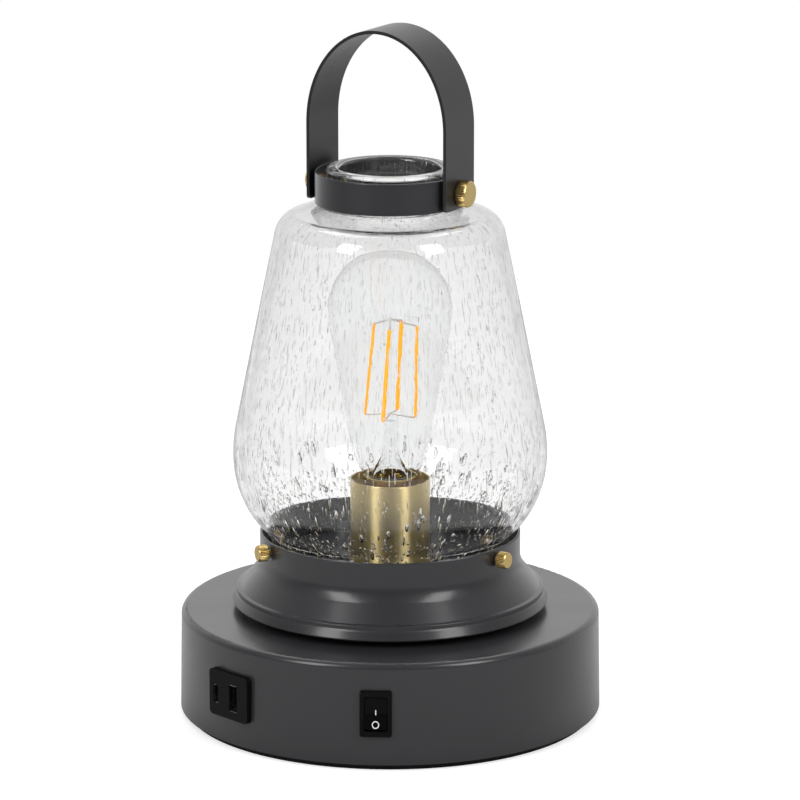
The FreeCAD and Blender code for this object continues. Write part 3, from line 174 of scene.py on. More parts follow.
def lathe(name: str, outline: list[Point], closed: bool, segments: int = 192) -> bpy.types.Object:
    """Turn an outline about the lamp's axis into a mesh object.

    Args:
        name: Name of the object and its mesh.
        outline: Points in mm that climb the outside and, where closed, come back down the inside.
        closed: True where the last point joins the first.
        segments: Number of steps round the axis.

    Returns:
        The new object, linked, with smooth faces and sharp corners past SHARP_ANGLE.
    """
    vertices: list[Vector] = []
    rows: list[list[int]] = []
    for radius, height in outline:
        steps = 1 if radius < TINY else segments
        rows.append(list(range(len(vertices), len(vertices) + steps)))
        vertices.extend(around(radius, 360 * i / steps, height) for i in range(steps))
    faces = []
    for low, high in zip(rows, rows[1:] + (rows[:1] if closed else [])):
        for i in range(segments if max(len(low), len(high)) > 1 else 0):
            j = i + 1
            corners = (low[i % len(low)], low[j % len(low)], high[j % len(high)], high[i % len(high)])
            faces.append(tuple(dict.fromkeys(corners)))
    mesh = bpy.data.meshes.new(name)
    mesh.from_pydata(vertices, [], faces)
    return finished(name, mesh, closed)


def finished(name: str, mesh: bpy.types.Mesh, closed: bool = True) -> bpy.types.Object:
    """Merge doubles, turn a closed mesh's faces outwards, smooth it and link an object for it.

    Args:
        name: Object's name.
        mesh: Mesh in metres, in the lamp's frame.
        closed: True where the mesh is a closed shell.

    Returns:
        The new object, at the origin.
    """
    work = bmesh.new()
    work.from_mesh(mesh)
    bmesh.ops.remove_doubles(work, verts=work.verts, dist=TINY)
    if closed:
        bmesh.ops.recalc_face_normals(work, faces=work.faces)
    work.to_mesh(mesh)
    work.free()
    mesh.shade_smooth()
    mesh.set_sharp_from_angle(angle=math.radians(SHARP_ANGLE))
    piece = bpy.data.objects.new(name, mesh)
    bpy.context.scene.collection.objects.link(piece)
    return piece


# ---- finishes -----------------------------------------------------------------------------------
class Pattern(Enum):
    """How a surface varies from place to place."""

    SPECKLE = "even grains"
    BRUSHED = "grains drawn out along an axis"
    CELLS = "packed round cells"


@dataclass(frozen=True)
class Finish:
    """An opaque surface: two close colours, mixed by the pattern that its making leaves.

    Attributes:
        name: Real material and how its surface was made.
        colour: Main colour.
        second: Colour of the grains.
        roughness: Mean roughness.
        grain: Size of a grain in mm.
        depth: Height of the grains in mm.
        spread: How far roughness wanders to each side.
        cloud: Size in mm of the soft patches that handling and the making leave.
        stretch: Pattern's scale along each axis, below 1 where the grains run long.
        turned: True where fine lines run round the lamp's axis and spread highlights upright.
        constants: Shader sockets with one value or hex colour all over.
    """

    name: str
    colour: str
    second: str
    roughness: float
    metallic: float = 0.0
    pattern: Pattern = Pattern.SPECKLE
    grain: float = 1.0
    depth: float = 0.0
    spread: float = 0.04
    cloud: float = 30.0
    stretch: tuple[float, float, float] = (1.0, 1.0, 1.0)
    turned: bool = False
    constants: tuple[tuple[str, float | str], ...] = ()

    def material(self) -> bpy.types.Material:
        """The finish as a material, built the first time it is asked for."""
        return bpy.data.materials.get(self.name) or self.build()

    def build(self) -> bpy.types.Material:
        """Build the node material.

        Returns:
            The new material.
        """
        material = bpy.data.materials.new(self.name)
        material.use_nodes = True
        tree = material.node_tree
        tree.nodes.clear()
        shader = self.surface(tree)
        add_node(tree, "ShaderNodeOutputMaterial", {"Surface": shader.outputs[0]})
        return material

    def surface(self, tree: bpy.types.NodeTree) -> bpy.types.Node:
        """Add the finish's nodes to a tree and return its shader."""
        place = add_node(tree, "ShaderNodeTexCoord").outputs["Object"]
        drawn = add_node(tree, "ShaderNodeMapping", {"Vector": place, "Scale": self.stretch}).outputs[0]
        if self.pattern is Pattern.CELLS:
            grains = add_node(tree, "ShaderNodeTexVoronoi", {
                "Vector": drawn, "Scale": 1 / (self.grain * MM)}, feature="SMOOTH_F1").outputs[0]
        else:
            detail = 4.0 if self.pattern is Pattern.BRUSHED else 2.0
            grains = add_node(tree, "ShaderNodeTexNoise", {
                "Vector": drawn, "Scale": 1 / (self.grain * MM), "Detail": detail}).outputs[0]
        patches = add_node(tree, "ShaderNodeTexNoise", {
            "Vector": place, "Scale": 1 / (self.cloud * MM), "Detail": 3.0}).outputs[0]
        hue = add_node(tree, "ShaderNodeMix", {0: grains, 6: linear(self.colour), 7: linear(self.second)},
                       data_type="RGBA").outputs[2]
        both = add_node(tree, "ShaderNodeMath", {0: grains, 1: patches}, operation="ADD").outputs[0]
        rough = add_node(tree, "ShaderNodeMapRange", {
            "Value": both, "From Min": MIXED_NOISE[0], "From Max": MIXED_NOISE[1],
            "To Min": self.roughness - self.spread, "To Max": self.roughness + self.spread}).outputs[0]
        inputs: dict[Any, Any] = {"Base Color": hue, "Roughness": rough, "Metallic": self.metallic}
        if self.depth:
            inputs["Normal"] = add_node(tree, "ShaderNodeBump", {
                "Height": grains, "Distance": self.depth * MM, "Strength": 1.0}).outputs[0]
        if self.turned:
            inputs["Tangent"] = add_node(tree, "ShaderNodeTangent", direction_type="RADIAL",
                                         axis="Z").outputs[0]
        inputs.update(self.fixed())
        return add_node(tree, "ShaderNodeBsdfPrincipled", inputs)

    def fixed(self) -> dict[str, Any]:
        """The constants, with their hex colours made linear."""
        return {name: linear(value) if isinstance(value, str) else value for name, value in self.constants}


@dataclass(frozen=True)
class Glass(Finish):
    """Clear glass that lamps shine through, with ripples where it was drawn in blowing.

    Attributes:
        index: Refractive index against what lies on the outer side of its faces.
        passed: Colour of the light that a lamp sends straight through.
        edge: Colour where a ray runs a long way through the wall, near its outline.
        edge_blend: How far in from the outline that colour reaches.
    """

    index: float = 1.5
    passed: str = "#F4F4F4"
    edge: str = "#FFFFFF"
    edge_blend: float = 0.15

    def surface(self, tree: bpy.types.NodeTree) -> bpy.types.Node:
        """Add the glass and the straight way for lamps, and return the mix of the two."""
        place = add_node(tree, "ShaderNodeTexCoord").outputs["Object"]
        drawn = add_node(tree, "ShaderNodeMapping", {"Vector": place, "Scale": self.stretch}).outputs[0]
        ripples = add_node(tree, "ShaderNodeTexNoise", {
            "Vector": drawn, "Scale": 1 / (self.grain * MM), "Detail": 2.0}).outputs[0]
        hue = add_node(tree, "ShaderNodeMix", {0: ripples, 6: linear(self.colour), 7: linear(self.second)},
                       data_type="RGBA").outputs[2]
        facing = add_node(tree, "ShaderNodeLayerWeight", {"Blend": self.edge_blend}).outputs["Facing"]
        hue = add_node(tree, "ShaderNodeMix", {0: facing, 6: hue, 7: linear(self.edge)},
                       data_type="RGBA").outputs[2]
        inputs: dict[Any, Any] = {"Base Color": hue, "Roughness": self.roughness, "IOR": self.index,
                                  "Transmission Weight": 1.0}
        if self.depth:
            inputs["Normal"] = add_node(tree, "ShaderNodeBump", {
                "Height": ripples, "Distance": self.depth * MM, "Strength": 1.0}).outputs[0]
        inputs.update(self.fixed())
        glass = add_node(tree, "ShaderNodeBsdfPrincipled", inputs).outputs[0]
        straight = add_node(tree, "ShaderNodeBsdfTransparent", {"Color": linear(self.passed)}).outputs[0]
        shadow = add_node(tree, "ShaderNodeLightPath").outputs["Is Shadow Ray"]
        return add_node(tree, "ShaderNodeMixShader", {0: shadow, 1: glass, 2: straight})


# Satin gunmetal lacquer sprayed on steel: a dark base with fine bright flake under a clear coat, so broad
# soft highlights on the wall and a mirror-like sheen where it is seen at a low angle.
GUNMETAL = Finish("gunmetal_lacquer_on_steel", "#28282A", "#303033", 0.42, metallic=0.15, grain=0.5,
                  depth=0.003, spread=0.05, constants=(("Specular IOR Level", 0.3), ("Coat Weight", 0.85),
                                                       ("Coat IOR", 1.4), ("Coat Roughness", 0.19)))
# The same lacquer on the bent bar, which keeps faint upright brushing from the bar's grinding.
BRUSHED_GUNMETAL = Finish("gunmetal_lacquer_on_brushed_bar", "#1F1F21", "#29292C", 0.36, metallic=0.2,
                          pattern=Pattern.BRUSHED, grain=0.35, depth=0.004, stretch=(1.0, 1.0, 0.06),
                          constants=(("Specular IOR Level", 0.3), ("Coat Weight", 0.35), ("Coat IOR", 1.4),
                                     ("Coat Roughness", 0.22)))
# Turned solid brass under a dull clear lacquer: warm, with fine turning marks that spread its highlights.
TURNED_BRASS = Finish("turned_brass", "#DEC384", "#C6AC6C", 0.3, metallic=1.0, grain=0.4, depth=0.006,
                      spread=0.08, cloud=4.0)
# Spun brass sheet toned to an antique colour: the lines of spinning run round it, so the light of each
# soft box is drawn out into an upright band.
ANTIQUE_BRASS = Finish("antiqued_spun_brass", "#DFCC98", "#D0BB80", 0.37, metallic=1.0, grain=0.8,
                       spread=0.03, cloud=24.0, stretch=(0.1, 0.1, 1.0), turned=True,
                       constants=(("Anisotropic", 0.95), ("Anisotropic Rotation", 0.25)))
# Plain rolled brass of the caps and shells, brighter than the turned parts.
ROLLED_BRASS = Finish("rolled_brass", "#CDB25F", "#B5983F", 0.24, metallic=1.0, grain=0.8, depth=0.003)
# Zinc-plated steel: pale, bluish and slightly blotched by the bath.
ZINC_STEEL = Finish("zinc_plated_steel", "#B9BDC1", "#9DA2A8", 0.36, metallic=1.0, grain=1.5, depth=0.004,
                    spread=0.1, cloud=6.0)
# Nickel-plated folded steel of the port shells: bright and smooth.
NICKEL_STEEL = Finish("nickel_plated_steel", "#C9C7C2", "#B2B0AB", 0.22, metallic=1.0, grain=0.6)
# Nickel wire: grey and drawn smooth.
NICKEL_WIRE = Finish("drawn_nickel_wire", "#E2E0DC", "#D4D2CE", 0.5, metallic=1.0, grain=0.5)
# Black stove paint of the hidden cover: dull, with the fine peel of sprayed paint.
BLACK_PAINT = Finish("black_stove_paint", "#1D1D1E", "#262627", 0.5, grain=1.2, depth=0.01)
# Sand-cast grey iron: rough grey skin with sand marks.
CAST_IRON = Finish("sand_cast_iron", "#4A4745", "#5E5A57", 0.7, metallic=0.6, grain=1.4, depth=0.12)
# Closed-cell foam pad: black, soft and pitted by its cells.
FOAM = Finish("closed_cell_foam", "#0C0C0C", "#161616", 0.9, pattern=Pattern.CELLS, grain=1.1, depth=0.08)
# Moulded ABS with a fine spark-eroded texture: black with a quiet sheen. Its specular level is fitted to
# the deep black of the photograph.
BLACK_ABS = Finish("textured_black_abs", "#060607", "#0B0B0C", 0.42, grain=0.35, depth=0.004,
                   constants=(("Specular IOR Level", 0.1),))
# Polished ABS of the rocker: the same plastic from a smoother mould, with its specular level fitted too.
POLISHED_ABS = Finish("polished_black_abs", "#060607", "#0A0A0B", 0.3, grain=2.0, depth=0.001,
                      constants=(("Specular IOR Level", 0.08),))
# White marking ink, pad-printed: flat and slightly uneven at its grain.
MARKING_INK = Finish("white_marking_ink", "#D9DCDD", "#EDEEEE", 0.6, grain=0.15)
# Black vitrified glass that insulates the bulb's tip.
BLACK_GLASS = Finish("black_vitrified_glass", "#0B0B0E", "#15151A", 0.12, grain=2.0)
# Tin solder: soft grey with a melted, wavy skin.
SOLDER = Finish("tin_solder", "#A7A8A8", "#8E8F90", 0.35, metallic=1.0, grain=1.2, depth=0.03)
# Glass-fibre circuit board under solder mask.
BOARD = Finish("green_solder_mask", "#1F4A33", "#2B5B40", 0.4, grain=0.6, depth=0.01)
# Vulcanised rubber of the inlet bushing: black, dull and faintly chalky.
RUBBER = Finish("black_vulcanised_rubber", "#141414", "#1E1E1E", 0.75, grain=0.5, depth=0.01)
# Silicone lead insulation.
LEAD_SLEEVE = Finish("silicone_lead_sleeve", "#8E1E1C", "#A12824", 0.45, grain=0.8)
# Yellow silicone and phosphor over the filament's chips: matt orange. The lamp is unlit, so the weak
# emission is a painted glow, fitted to the bright orange of the photograph.
PHOSPHOR_WITH_PAINTED_GLOW = Finish("phosphor_filament_with_painted_glow", "#FFAB30", "#FFA322", 0.7, grain=0.7,
                  constants=(("Specular IOR Level", 0.1), ("Emission Color", "#FF9E1E"),
                             ("Emission Strength", 0.5)))
# Mouth-blown soda-lime glass: clear, faintly grey in its thickness, rippled along the draw.
SEEDED_GLASS = Glass("blown_soda_lime_glass", "#F8F8F8", "#F1F1F1", 0.0, grain=2.4, depth=0.018,
                     stretch=(1.0, 1.0, 0.22), index=1.45, edge="#9FA1A1", edge_blend=0.1)
# Air in the wall, seen from the glass round it, so its index is below 1. A round bubble has the index of
# air in this glass. A fine seed's index is fitted to the photograph: nearer to 1, because there it is faint.
FINE_AIR = Glass("fine_air_seed_in_glass", "#FFFFFF", "#F6F6F6", 0.0, grain=1.0, index=1 / 1.17,
                 passed="#F2F2F2")
ROUND_AIR = Glass("round_air_bubble_in_glass", "#FFFFFF", "#F6F6F6", 0.0, grain=1.0, index=1 / 1.45,
                  passed="#E9E9E9")
# Machine-blown envelope of the bulb, free of ripples. Real bulb glass has an index near 1.5, and 1.09 is
# fitted to the photograph, where the bulb hardly shows.
BULB_GLASS = Glass("machine_blown_bulb_glass", "#FDFDFD", "#FAFBFB", 0.0, grain=12.0, index=1.09,
                   edge="#F2F2F2")


def dress(nodes: tuple[str, ...], finish: Finish) -> tuple[str, ...]:
    """Give CAD nodes a finish.

    Args:
        nodes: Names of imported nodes.
        finish: What they are made of.

    Returns:
        The same names, for the report.
    """
    for node in nodes:
        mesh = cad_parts[node].data
        if not mesh.materials:
            mesh.materials.append(finish.material())
        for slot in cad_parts[node].material_slots:
            slot.material = finish.material()
    return nodes


def cover(piece: bpy.types.Object, finish: Finish, body: str) -> str:
    """Give a new piece its finish, body and material slot.

    Args:
        piece: Finished mesh object at the origin.
        finish: What it is made of.
        body: CAD body that it moves with.

    Returns:
        The piece's name, for the report.
    """
    piece.data.materials.clear()
    piece.data.materials.append(finish.material())
    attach(piece, body)
    return piece.name


class SubAssembly(Protocol):
    """A part of the lamp that builds and dresses its own pieces."""

    def build(self) -> tuple[str, ...]:
        """Build and dress the pieces, and return their names."""


# ---- sub-assemblies -----------------------------------------------------------------------------
@dataclass
class DrumBase:
    """Weighted drum on its pad, with everything that is screwed inside it."""

    def build(self) -> tuple[str, ...]:
        """Dress the drum, its cover, ballast and wiring."""
        return (dress(("base_drum",), GUNMETAL) + dress(("bottom_cover",), BLACK_PAINT)
                + dress(("base_pad",), FOAM) + dress(("ballast_weight",), CAST_IRON)
                + dress(("cover_tabs", "cover_screws", "ballast_nuts", "lamp_pipe", "pipe_nuts",
                         "pipe_washer"), ZINC_STEEL)
                + dress(("cord_bushing",), RUBBER) + dress(("lamp_leads", "crimp_cap"), LEAD_SLEEVE))


@dataclass
class Gallery:
    """Spun bell that carries the shade, with its floor, foot and thumb screws."""

    screws: int = 3

    def build(self) -> tuple[str, ...]:
        """Dress the bell and its brass screws."""
        thumb_screws = tuple(f"gallery_screw_{i + 1}" for i in range(self.screws))
        return (dress(("gallery", "gallery_floor", "gallery_foot"), GUNMETAL)
                + dress(thumb_screws, TURNED_BRASS))


@dataclass(frozen=True)
class Scatter:
    """One kind of air in the glass.

    Attributes:
        name: Object's name.
        finish: Its air.
        seed: Seed of its random places and sizes.
        density: Pieces of air for each square metre of wall.
        length: Length in the bowl, on the cone and on the shoulder.
        width: Width in the bowl and above it.
        depth: Thickness across the wall.
        reach: Lowest and highest place along the wall.
    """

    name: str
    finish: Glass
    seed: int
    density: float
    length: tuple[float, float, float]
    width: Point
    depth: float
    reach: Point


@dataclass
class GlassShade:
    """Blown shade with the air in its wall, which the draw has pulled into upright slivers.

    Attributes:
        wall: Thickness of the shade below the neck.
        outside: Corners of the outside, from the foot of the skirt to the root of the neck.
        mouth_height: Upper edge of the neck.
        mouth_round: Rounding of the fire-polished edge.
        neck_wall: Thickness of the neck.
        shoulder_slope: Fall of the shoulder, in degrees.
        ripple: Depth of the slow waves that blowing leaves on the inside.
        ripple_size: Distance between two waves.
        cone_low: Height where the bowl's round seeds have given way to long ones.
        cone_high: Height where they begin to shorten again.
        scatters: Fine seeds of the whole wall, rounder bubbles low in the bowl, and the neck's streaks.
    """

    wall: float = 3.2
    outside: tuple[Corner, ...] = ((59.8, 72.2, 0.0), (59.8, 89.86, 3.0), (75.3, 105.63, 51.0),
                                   (75.3, 134.77, 70.0), (53.25, 243.15, 13.0), (30.5, 248.4, 3.0))
    mouth_height: float = 266.7
    mouth_round: float = 2.2
    neck_wall: float = 6.6
    shoulder_slope: float = 13.0
    ripple: float = 0.07
    ripple_size: float = 13.0
    cone_low: float = 132.0
    cone_high: float = 225.0
    scatters: tuple[Scatter, ...] = (
        Scatter("glass_seeds", FINE_AIR, 11, 48000.0, (2.0, 4.3, 2.6), (1.0, 0.5), 0.5, (0.0, 400.0)),
        Scatter("glass_bubbles", ROUND_AIR, 5, 12500.0, (6.2, 5.0, 5.0), (2.3, 1.8), 1.4, (0.0, 118.0)),
        Scatter("glass_fine_bubbles", ROUND_AIR, 9, 90000.0, (1.9, 1.9, 1.9), (1.1, 1.1), 0.8, (0.0, 104.0)),
        Scatter("glass_neck_seeds", ROUND_AIR, 7, 60000.0, (3.0, 3.0, 2.8), (0.6, 0.6), 0.6, (245.5, 400.0)))

    def build(self) -> tuple[str, ...]:
        """Build the wall and its air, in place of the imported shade."""
        shade = self.blown_wall()
        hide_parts("glass_shade")
        names = [cover(shade, SEEDED_GLASS, "shade")]
        for scatter in self.scatters:
            names.append(cover(self.trapped_air(scatter), scatter.finish, "shade"))
        return tuple(names)

    def blown_wall(self) -> bpy.types.Object:
        """Turn the closed outline of the glass and let its inside ripple.

        Returns:
            The shade's object.
        """
        outside = list(self.outside)
        neck_radius = outside[-1][0]
        bore = neck_radius - self.neck_wall
        inside = inset(outside + [(neck_radius, self.mouth_height, 0.0)], self.wall)[:-1]
        shoulder = inside[-1]
        slope = math.tan(math.radians(self.shoulder_slope))
        inside.append((bore, shoulder[1] + slope * (shoulder[0] - bore), 2 * outside[-1][2]))
        mouth = [(neck_radius, self.mouth_height, self.mouth_round),
                 (bore, self.mouth_height, self.mouth_round)]
        foot = [(outside[0][0] - self.wall, outside[0][1], 0.0)]
        outline = rounded(outside + mouth + inside[::-1] + foot, closed=True)
        shade = lathe("glass_shade_wall", outline, closed=True)
        vertices = shade.data.vertices
        rippled = []
        for place, normal in [(v.co.copy(), v.normal.copy()) for v in vertices]:
            wave = noise.noise(place / (self.ripple_size * MM)) * self.ripple * MM
            if normal.xy.dot(place.xy) > 0:
                wave = min(wave, 0.0)
            place.xy *= 1 + wave / place.xy.length
            rippled.extend(place)
        vertices.foreach_set("co", rippled)
        shade.data.update()
        return shade

    def trapped_air(self, scatter: Scatter) -> bpy.types.Object:
        """Scatter air through the middle of the wall with geometry nodes.

        Args:
            scatter: Which seeds, how many and how large.

        Returns:
            One plain mesh object with every seed in it.
        """
        outside = list(self.outside)
        middle = inset(outside + [(outside[-1][0], self.mouth_height, 0.0)], self.wall / 2)
        neck = (outside[-1][0] - self.neck_wall / 2, self.mouth_height - self.mouth_round, 0.0)
        middle = [(middle[0][0], outside[0][1] + self.wall, 0.0)] + middle[:-1] + [
            (neck[0], middle[-1][1], outside[-1][2]), neck]
        low, high = scatter.reach
        part = [point for point in rounded(middle, closed=False) if low < point[1] < high]
        host = lathe(scatter.name, part, closed=False, segments=96)
        modifier = host.modifiers.new("air", "NODES")
        modifier.node_group = self.air_tree()
        sizes = {"Seeds per m2": scatter.density, "Seed": scatter.seed, "Depth": scatter.depth * MM,
                 "Width low": scatter.width[0] * MM, "Width high": scatter.width[1] * MM,
                 "Length low": scatter.length[0] * MM, "Length middle": scatter.length[1] * MM,
                 "Length high": scatter.length[2] * MM, "Foot": outside[1][1] * MM,
                 "Cone low": self.cone_low * MM, "Cone high": self.cone_high * MM,
                 "Neck": outside[-1][1] * MM, "Drift": (self.wall / 2 - scatter.depth) * MM,
                 "Material": scatter.finish.material()}
        for item in modifier.node_group.interface.items_tree:
            if item.in_out == "INPUT" and item.name in sizes:
                modifier[item.identifier] = sizes[item.name]
        scattered = host.evaluated_get(bpy.context.evaluated_depsgraph_get())
        mesh = bpy.data.meshes.new_from_object(scattered)
        host.modifiers.clear()
        host.data = mesh
        return host

    def air_tree(self) -> bpy.types.NodeTree:
        """Build the tree that scatters slivers of air over a surface.

        Returns:
            A geometry tree with named inputs for the seeds' sizes.
        """
        built = bpy.data.node_groups.get("air_in_glass")
        if built:
            return built
        tree = bpy.data.node_groups.new("air_in_glass", "GeometryNodeTree")
        tree.interface.new_socket("Geometry", in_out="INPUT", socket_type="NodeSocketGeometry")
        for name in ("Seeds per m2", "Depth", "Width low", "Width high", "Length low", "Length middle",
                     "Length high", "Foot", "Cone low", "Cone high", "Neck", "Drift"):
            tree.interface.new_socket(name, in_out="INPUT", socket_type="NodeSocketFloat")
        tree.interface.new_socket("Seed", in_out="INPUT", socket_type="NodeSocketInt")
        tree.interface.new_socket("Material", in_out="INPUT", socket_type="NodeSocketMaterial")
        tree.interface.new_socket("Geometry", in_out="OUTPUT", socket_type="NodeSocketGeometry")
        given = add_node(tree, "NodeGroupInput").outputs
        points = add_node(tree, "GeometryNodeDistributePointsOnFaces", {
            "Mesh": given["Geometry"], "Density": given["Seeds per m2"], "Seed": given["Seed"]},
            distribute_method="RANDOM")
        normal = points.outputs["Normal"]
        height = add_node(tree, "ShaderNodeSeparateXYZ", {
            0: add_node(tree, "GeometryNodeInputPosition").outputs[0]}).outputs["Z"]

        def between(low: str, high: str, start: str | bpy.types.NodeSocket,
                    end: str) -> bpy.types.NodeSocket:
            """Value that goes from start to end as the height goes from low to high."""
            first = given[start] if isinstance(start, str) else start
            return add_node(tree, "ShaderNodeMapRange", {
                0: height, 1: given[low], 2: given[high], 3: first, 4: given[end]},
                interpolation_type="SMOOTHSTEP").outputs[0]

        def random_factor(low: float, high: float, seed: int) -> bpy.types.NodeSocket:
            """Random number for each seed between two limits."""
            return add_node(tree, "FunctionNodeRandomValue", {2: low, 3: high, 8: seed},
                            data_type="FLOAT").outputs[1]

        def times(a: bpy.types.NodeSocket, b: bpy.types.NodeSocket) -> bpy.types.NodeSocket:
            """Product of two numbers."""
            return add_node(tree, "ShaderNodeMath", {0: a, 1: b}, operation="MULTIPLY").outputs[0]

        long = between("Cone high", "Neck", between("Foot", "Cone low", "Length low", "Length middle"),
                       "Length high")
        size = add_node(tree, "ShaderNodeCombineXYZ", {
            "X": times(given["Depth"], random_factor(*DEPTH_SPREAD, seed=1)),
            "Y": times(between("Foot", "Cone low", "Width low", "Width high"),
                       random_factor(*WIDTH_SPREAD, seed=2)),
            "Z": times(long, random_factor(*LENGTH_SPREAD, seed=3))}).outputs[0]
        drift = add_node(tree, "ShaderNodeVectorMath", {
            0: normal, "Scale": times(given["Drift"], random_factor(*DRIFT_SPREAD, seed=4))},
            operation="SCALE")
        placed = add_node(tree, "GeometryNodeSetPosition", {
            "Geometry": points.outputs["Points"], "Offset": drift.outputs[0]})
        outwards = add_node(tree, "FunctionNodeAlignRotationToVector", {"Vector": normal}, axis="X")
        upright = add_node(tree, "FunctionNodeAlignRotationToVector", {
            "Rotation": outwards.outputs[0], "Vector": (0.0, 0.0, 1.0)}, axis="Z", pivot_axis="X")
        sliver = add_node(tree, "GeometryNodeMeshUVSphere", {"Segments": 6, "Rings": 5, "Radius": 0.5})
        scattered = add_node(tree, "GeometryNodeInstanceOnPoints", {
            "Points": placed.outputs[0], "Instance": sliver.outputs[0], "Rotation": upright.outputs[0],
            "Scale": size})
        real = add_node(tree, "GeometryNodeRealizeInstances", {0: scattered.outputs[0]})
        smooth = add_node(tree, "GeometryNodeSetShadeSmooth", {0: real.outputs[0]})
        dressed = add_node(tree, "GeometryNodeSetMaterial", {
            "Geometry": smooth.outputs[0], "Material": given["Material"]})
        add_node(tree, "NodeGroupOutput", {0: dressed.outputs[0]})
        return tree


@dataclass
class CollarAndHandle:
    """Band round the glass neck, the bent strap and the two screws that it swings on."""

    def build(self) -> tuple[str, ...]:
        """Dress the band, the strap and their brass screws."""
        return (dress(("collar_band",), GUNMETAL) + dress(("handle_strap",), BRUSHED_GUNMETAL)
                + dress(("handle_screw_right", "handle_screw_left"), TURNED_BRASS))


@dataclass
class LampHolder:
    """Brass cup with the moulded holder inside it."""

    def build(self) -> tuple[str, ...]:
        """Dress the cup, the holder and its contacts."""
        return (dress(("socket_cup",), ANTIQUE_BRASS) + dress(("socket_insulator",), BLACK_ABS)
                + dress(("socket_shell", "socket_contact"), ROLLED_BRASS))


@dataclass
class Bulb:
    """Long pear bulb with four filament strips.

    Attributes:
        outside: Corners of the envelope, from the cap to the crown.
        wall: Thickness of the envelope.
    """

    outside: tuple[Corner, ...] = ((12.7, 117.05, 0.0), (17.5, 124.05, 30.0), (29.5, 193.05, 60.0),
                                   (29.5, 226.05, 28.0), (0.0, 226.05, 0.0))
    wall: float = 0.8

    def build(self) -> tuple[str, ...]:
        """Blow the envelope, and dress the stem, the filaments and the cap."""
        envelope = self.envelope()
        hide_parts("bulb_glass")
        return ((cover(envelope, BULB_GLASS, "bulb"),) + dress(("bulb_stem",), BULB_GLASS)
                + dress(("bulb_filaments",), PHOSPHOR_WITH_PAINTED_GLOW) + dress(("bulb_wires",), NICKEL_WIRE)
                + dress(("bulb_cap",), ROLLED_BRASS) + dress(("bulb_insulator",), BLACK_GLASS)
                + dress(("bulb_tip",), SOLDER))

    def envelope(self) -> bpy.types.Object:
        """Turn the closed outline of the thin glass.

        Returns:
            The envelope's object.
        """
        outside = list(self.outside)
        inside = inset(outside, self.wall)
        foot = (outside[0][0] - self.wall, outside[0][1], 0.0)
        crown = (0.0, outside[-1][1] - self.wall, 0.0)
        outline = rounded(outside + [crown] + inside[::-1] + [foot], closed=True)
        return lathe("bulb_envelope", outline, closed=True)


@dataclass
class RockerSwitch:
    """Rocker in its bezel, with the bar and the ring of its two positions printed on it.

    Attributes:
        bar_height: Middle of the bar above the table.
        bar_size: Width and height of the bar.
        ring_height: Middle of the ring above the table.
        ring_size: Outer diameter and line width of the ring.
        ink: How far the film stands off the rocker, and how deep it is sunk.
        front: Depth from which the marks are dropped back on to the rocker.
    """

    bar_height: float = 28.9
    bar_size: tuple[float, float] = (0.45, 2.3)
    ring_height: float = 23.4
    ring_size: tuple[float, float] = (3.4, 0.42)
    ink: float = 0.03
    front: float = -150.0

    def build(self) -> tuple[str, ...]:
        """Dress the switch and print its marks."""
        marks = self.printed_marks()
        return (dress(("switch_housing",), BLACK_ABS) + dress(("switch_rocker",), POLISHED_ABS)
                + dress(("switch_terminals",), ROLLED_BRASS)
                + (cover(marks, MARKING_INK, "rocker"),))

    def printed_marks(self) -> bpy.types.Object:
        """Lay the bar and the ring on the rocker's face.

        Returns:
            One object with both marks, a closed film of ink each.
        """
        width, height = self.bar_size
        rows = 6
        bar = [[(x, self.bar_height + height * (k / rows - 0.5)) for x in (-width / 2, width / 2)]
               for k in range(rows + 1)]
        outer, line = self.ring_size[0] / 2, self.ring_size[1]
        steps = 40
        turns = [2 * math.pi * k / steps for k in range(steps + 1)]
        ring = [[(r * math.cos(turn), self.ring_height + r * math.sin(turn)) for r in (outer, outer - line)]
                for turn in turns]
        mesh = bpy.data.meshes.new("rocker_marks")
        vertices: list[Vector] = []
        faces: list[tuple[int, ...]] = []
        for strip, loops in ((bar, False), (ring, True)):
            self.film(strip, loops, vertices, faces)
        mesh.from_pydata(vertices, [], faces)
        return finished("rocker_marks", mesh)

    def film(self, strip: list[list[Point]], loops: bool, vertices: list[Vector],
             faces: list[tuple[int, ...]]) -> None:
        """Add a closed film over a strip of point pairs, dropped on to the rocker.

        Args:
            strip: Pairs of (x, z) across the strip, in mm, along its length.
            loops: True where the strip's end meets its start.
            vertices: Vertices to add to.
            faces: Faces to add to.
        """
        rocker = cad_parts["switch_rocker"].data
        rocker.calc_loop_triangles()
        tree = BVHTree.FromPolygons([v.co for v in rocker.vertices],
                                    [tuple(t.vertices) for t in rocker.loop_triangles])
        first = len(vertices)
        stand = Vector((0.0, self.ink * MM, 0.0))
        for pair in strip:
            for x, z in pair:
                hit = tree.ray_cast(Vector((x, self.front, z)) * MM, Vector((0.0, 1.0, 0.0)))[0]
                if hit is None:
                    raise ValueError(f"the mark at {x:.1f}, {z:.1f} mm misses the rocker")
                vertices.extend((hit - stand, hit + stand))
        for k in range(len(strip) - 1):
            a, b = first + 4 * k, first + 4 * (k + 1)
            faces.extend(((a, a + 2, b + 2, b), (a + 1, b + 1, b + 3, a + 3),
                          (a, b, b + 1, a + 1), (a + 2, a + 3, b + 3, b + 2)))
        if not loops:
            end = first + 4 * (len(strip) - 1)
            faces.extend(((first, first + 1, first + 3, first + 2), (end, end + 2, end + 3, end + 1)))


@dataclass
class ChargingModule:
    """Face plate with the two charging ports, and the box behind it."""

    def build(self) -> tuple[str, ...]:
        """Dress the plate, the ports and the board."""
        return (dress(("module_housing", "module_cover", "port_a_tongue", "port_c_tongue"), BLACK_ABS)
                + dress(("port_a_shell", "port_c_shell"), NICKEL_STEEL) + dress(("module_board",), BOARD))


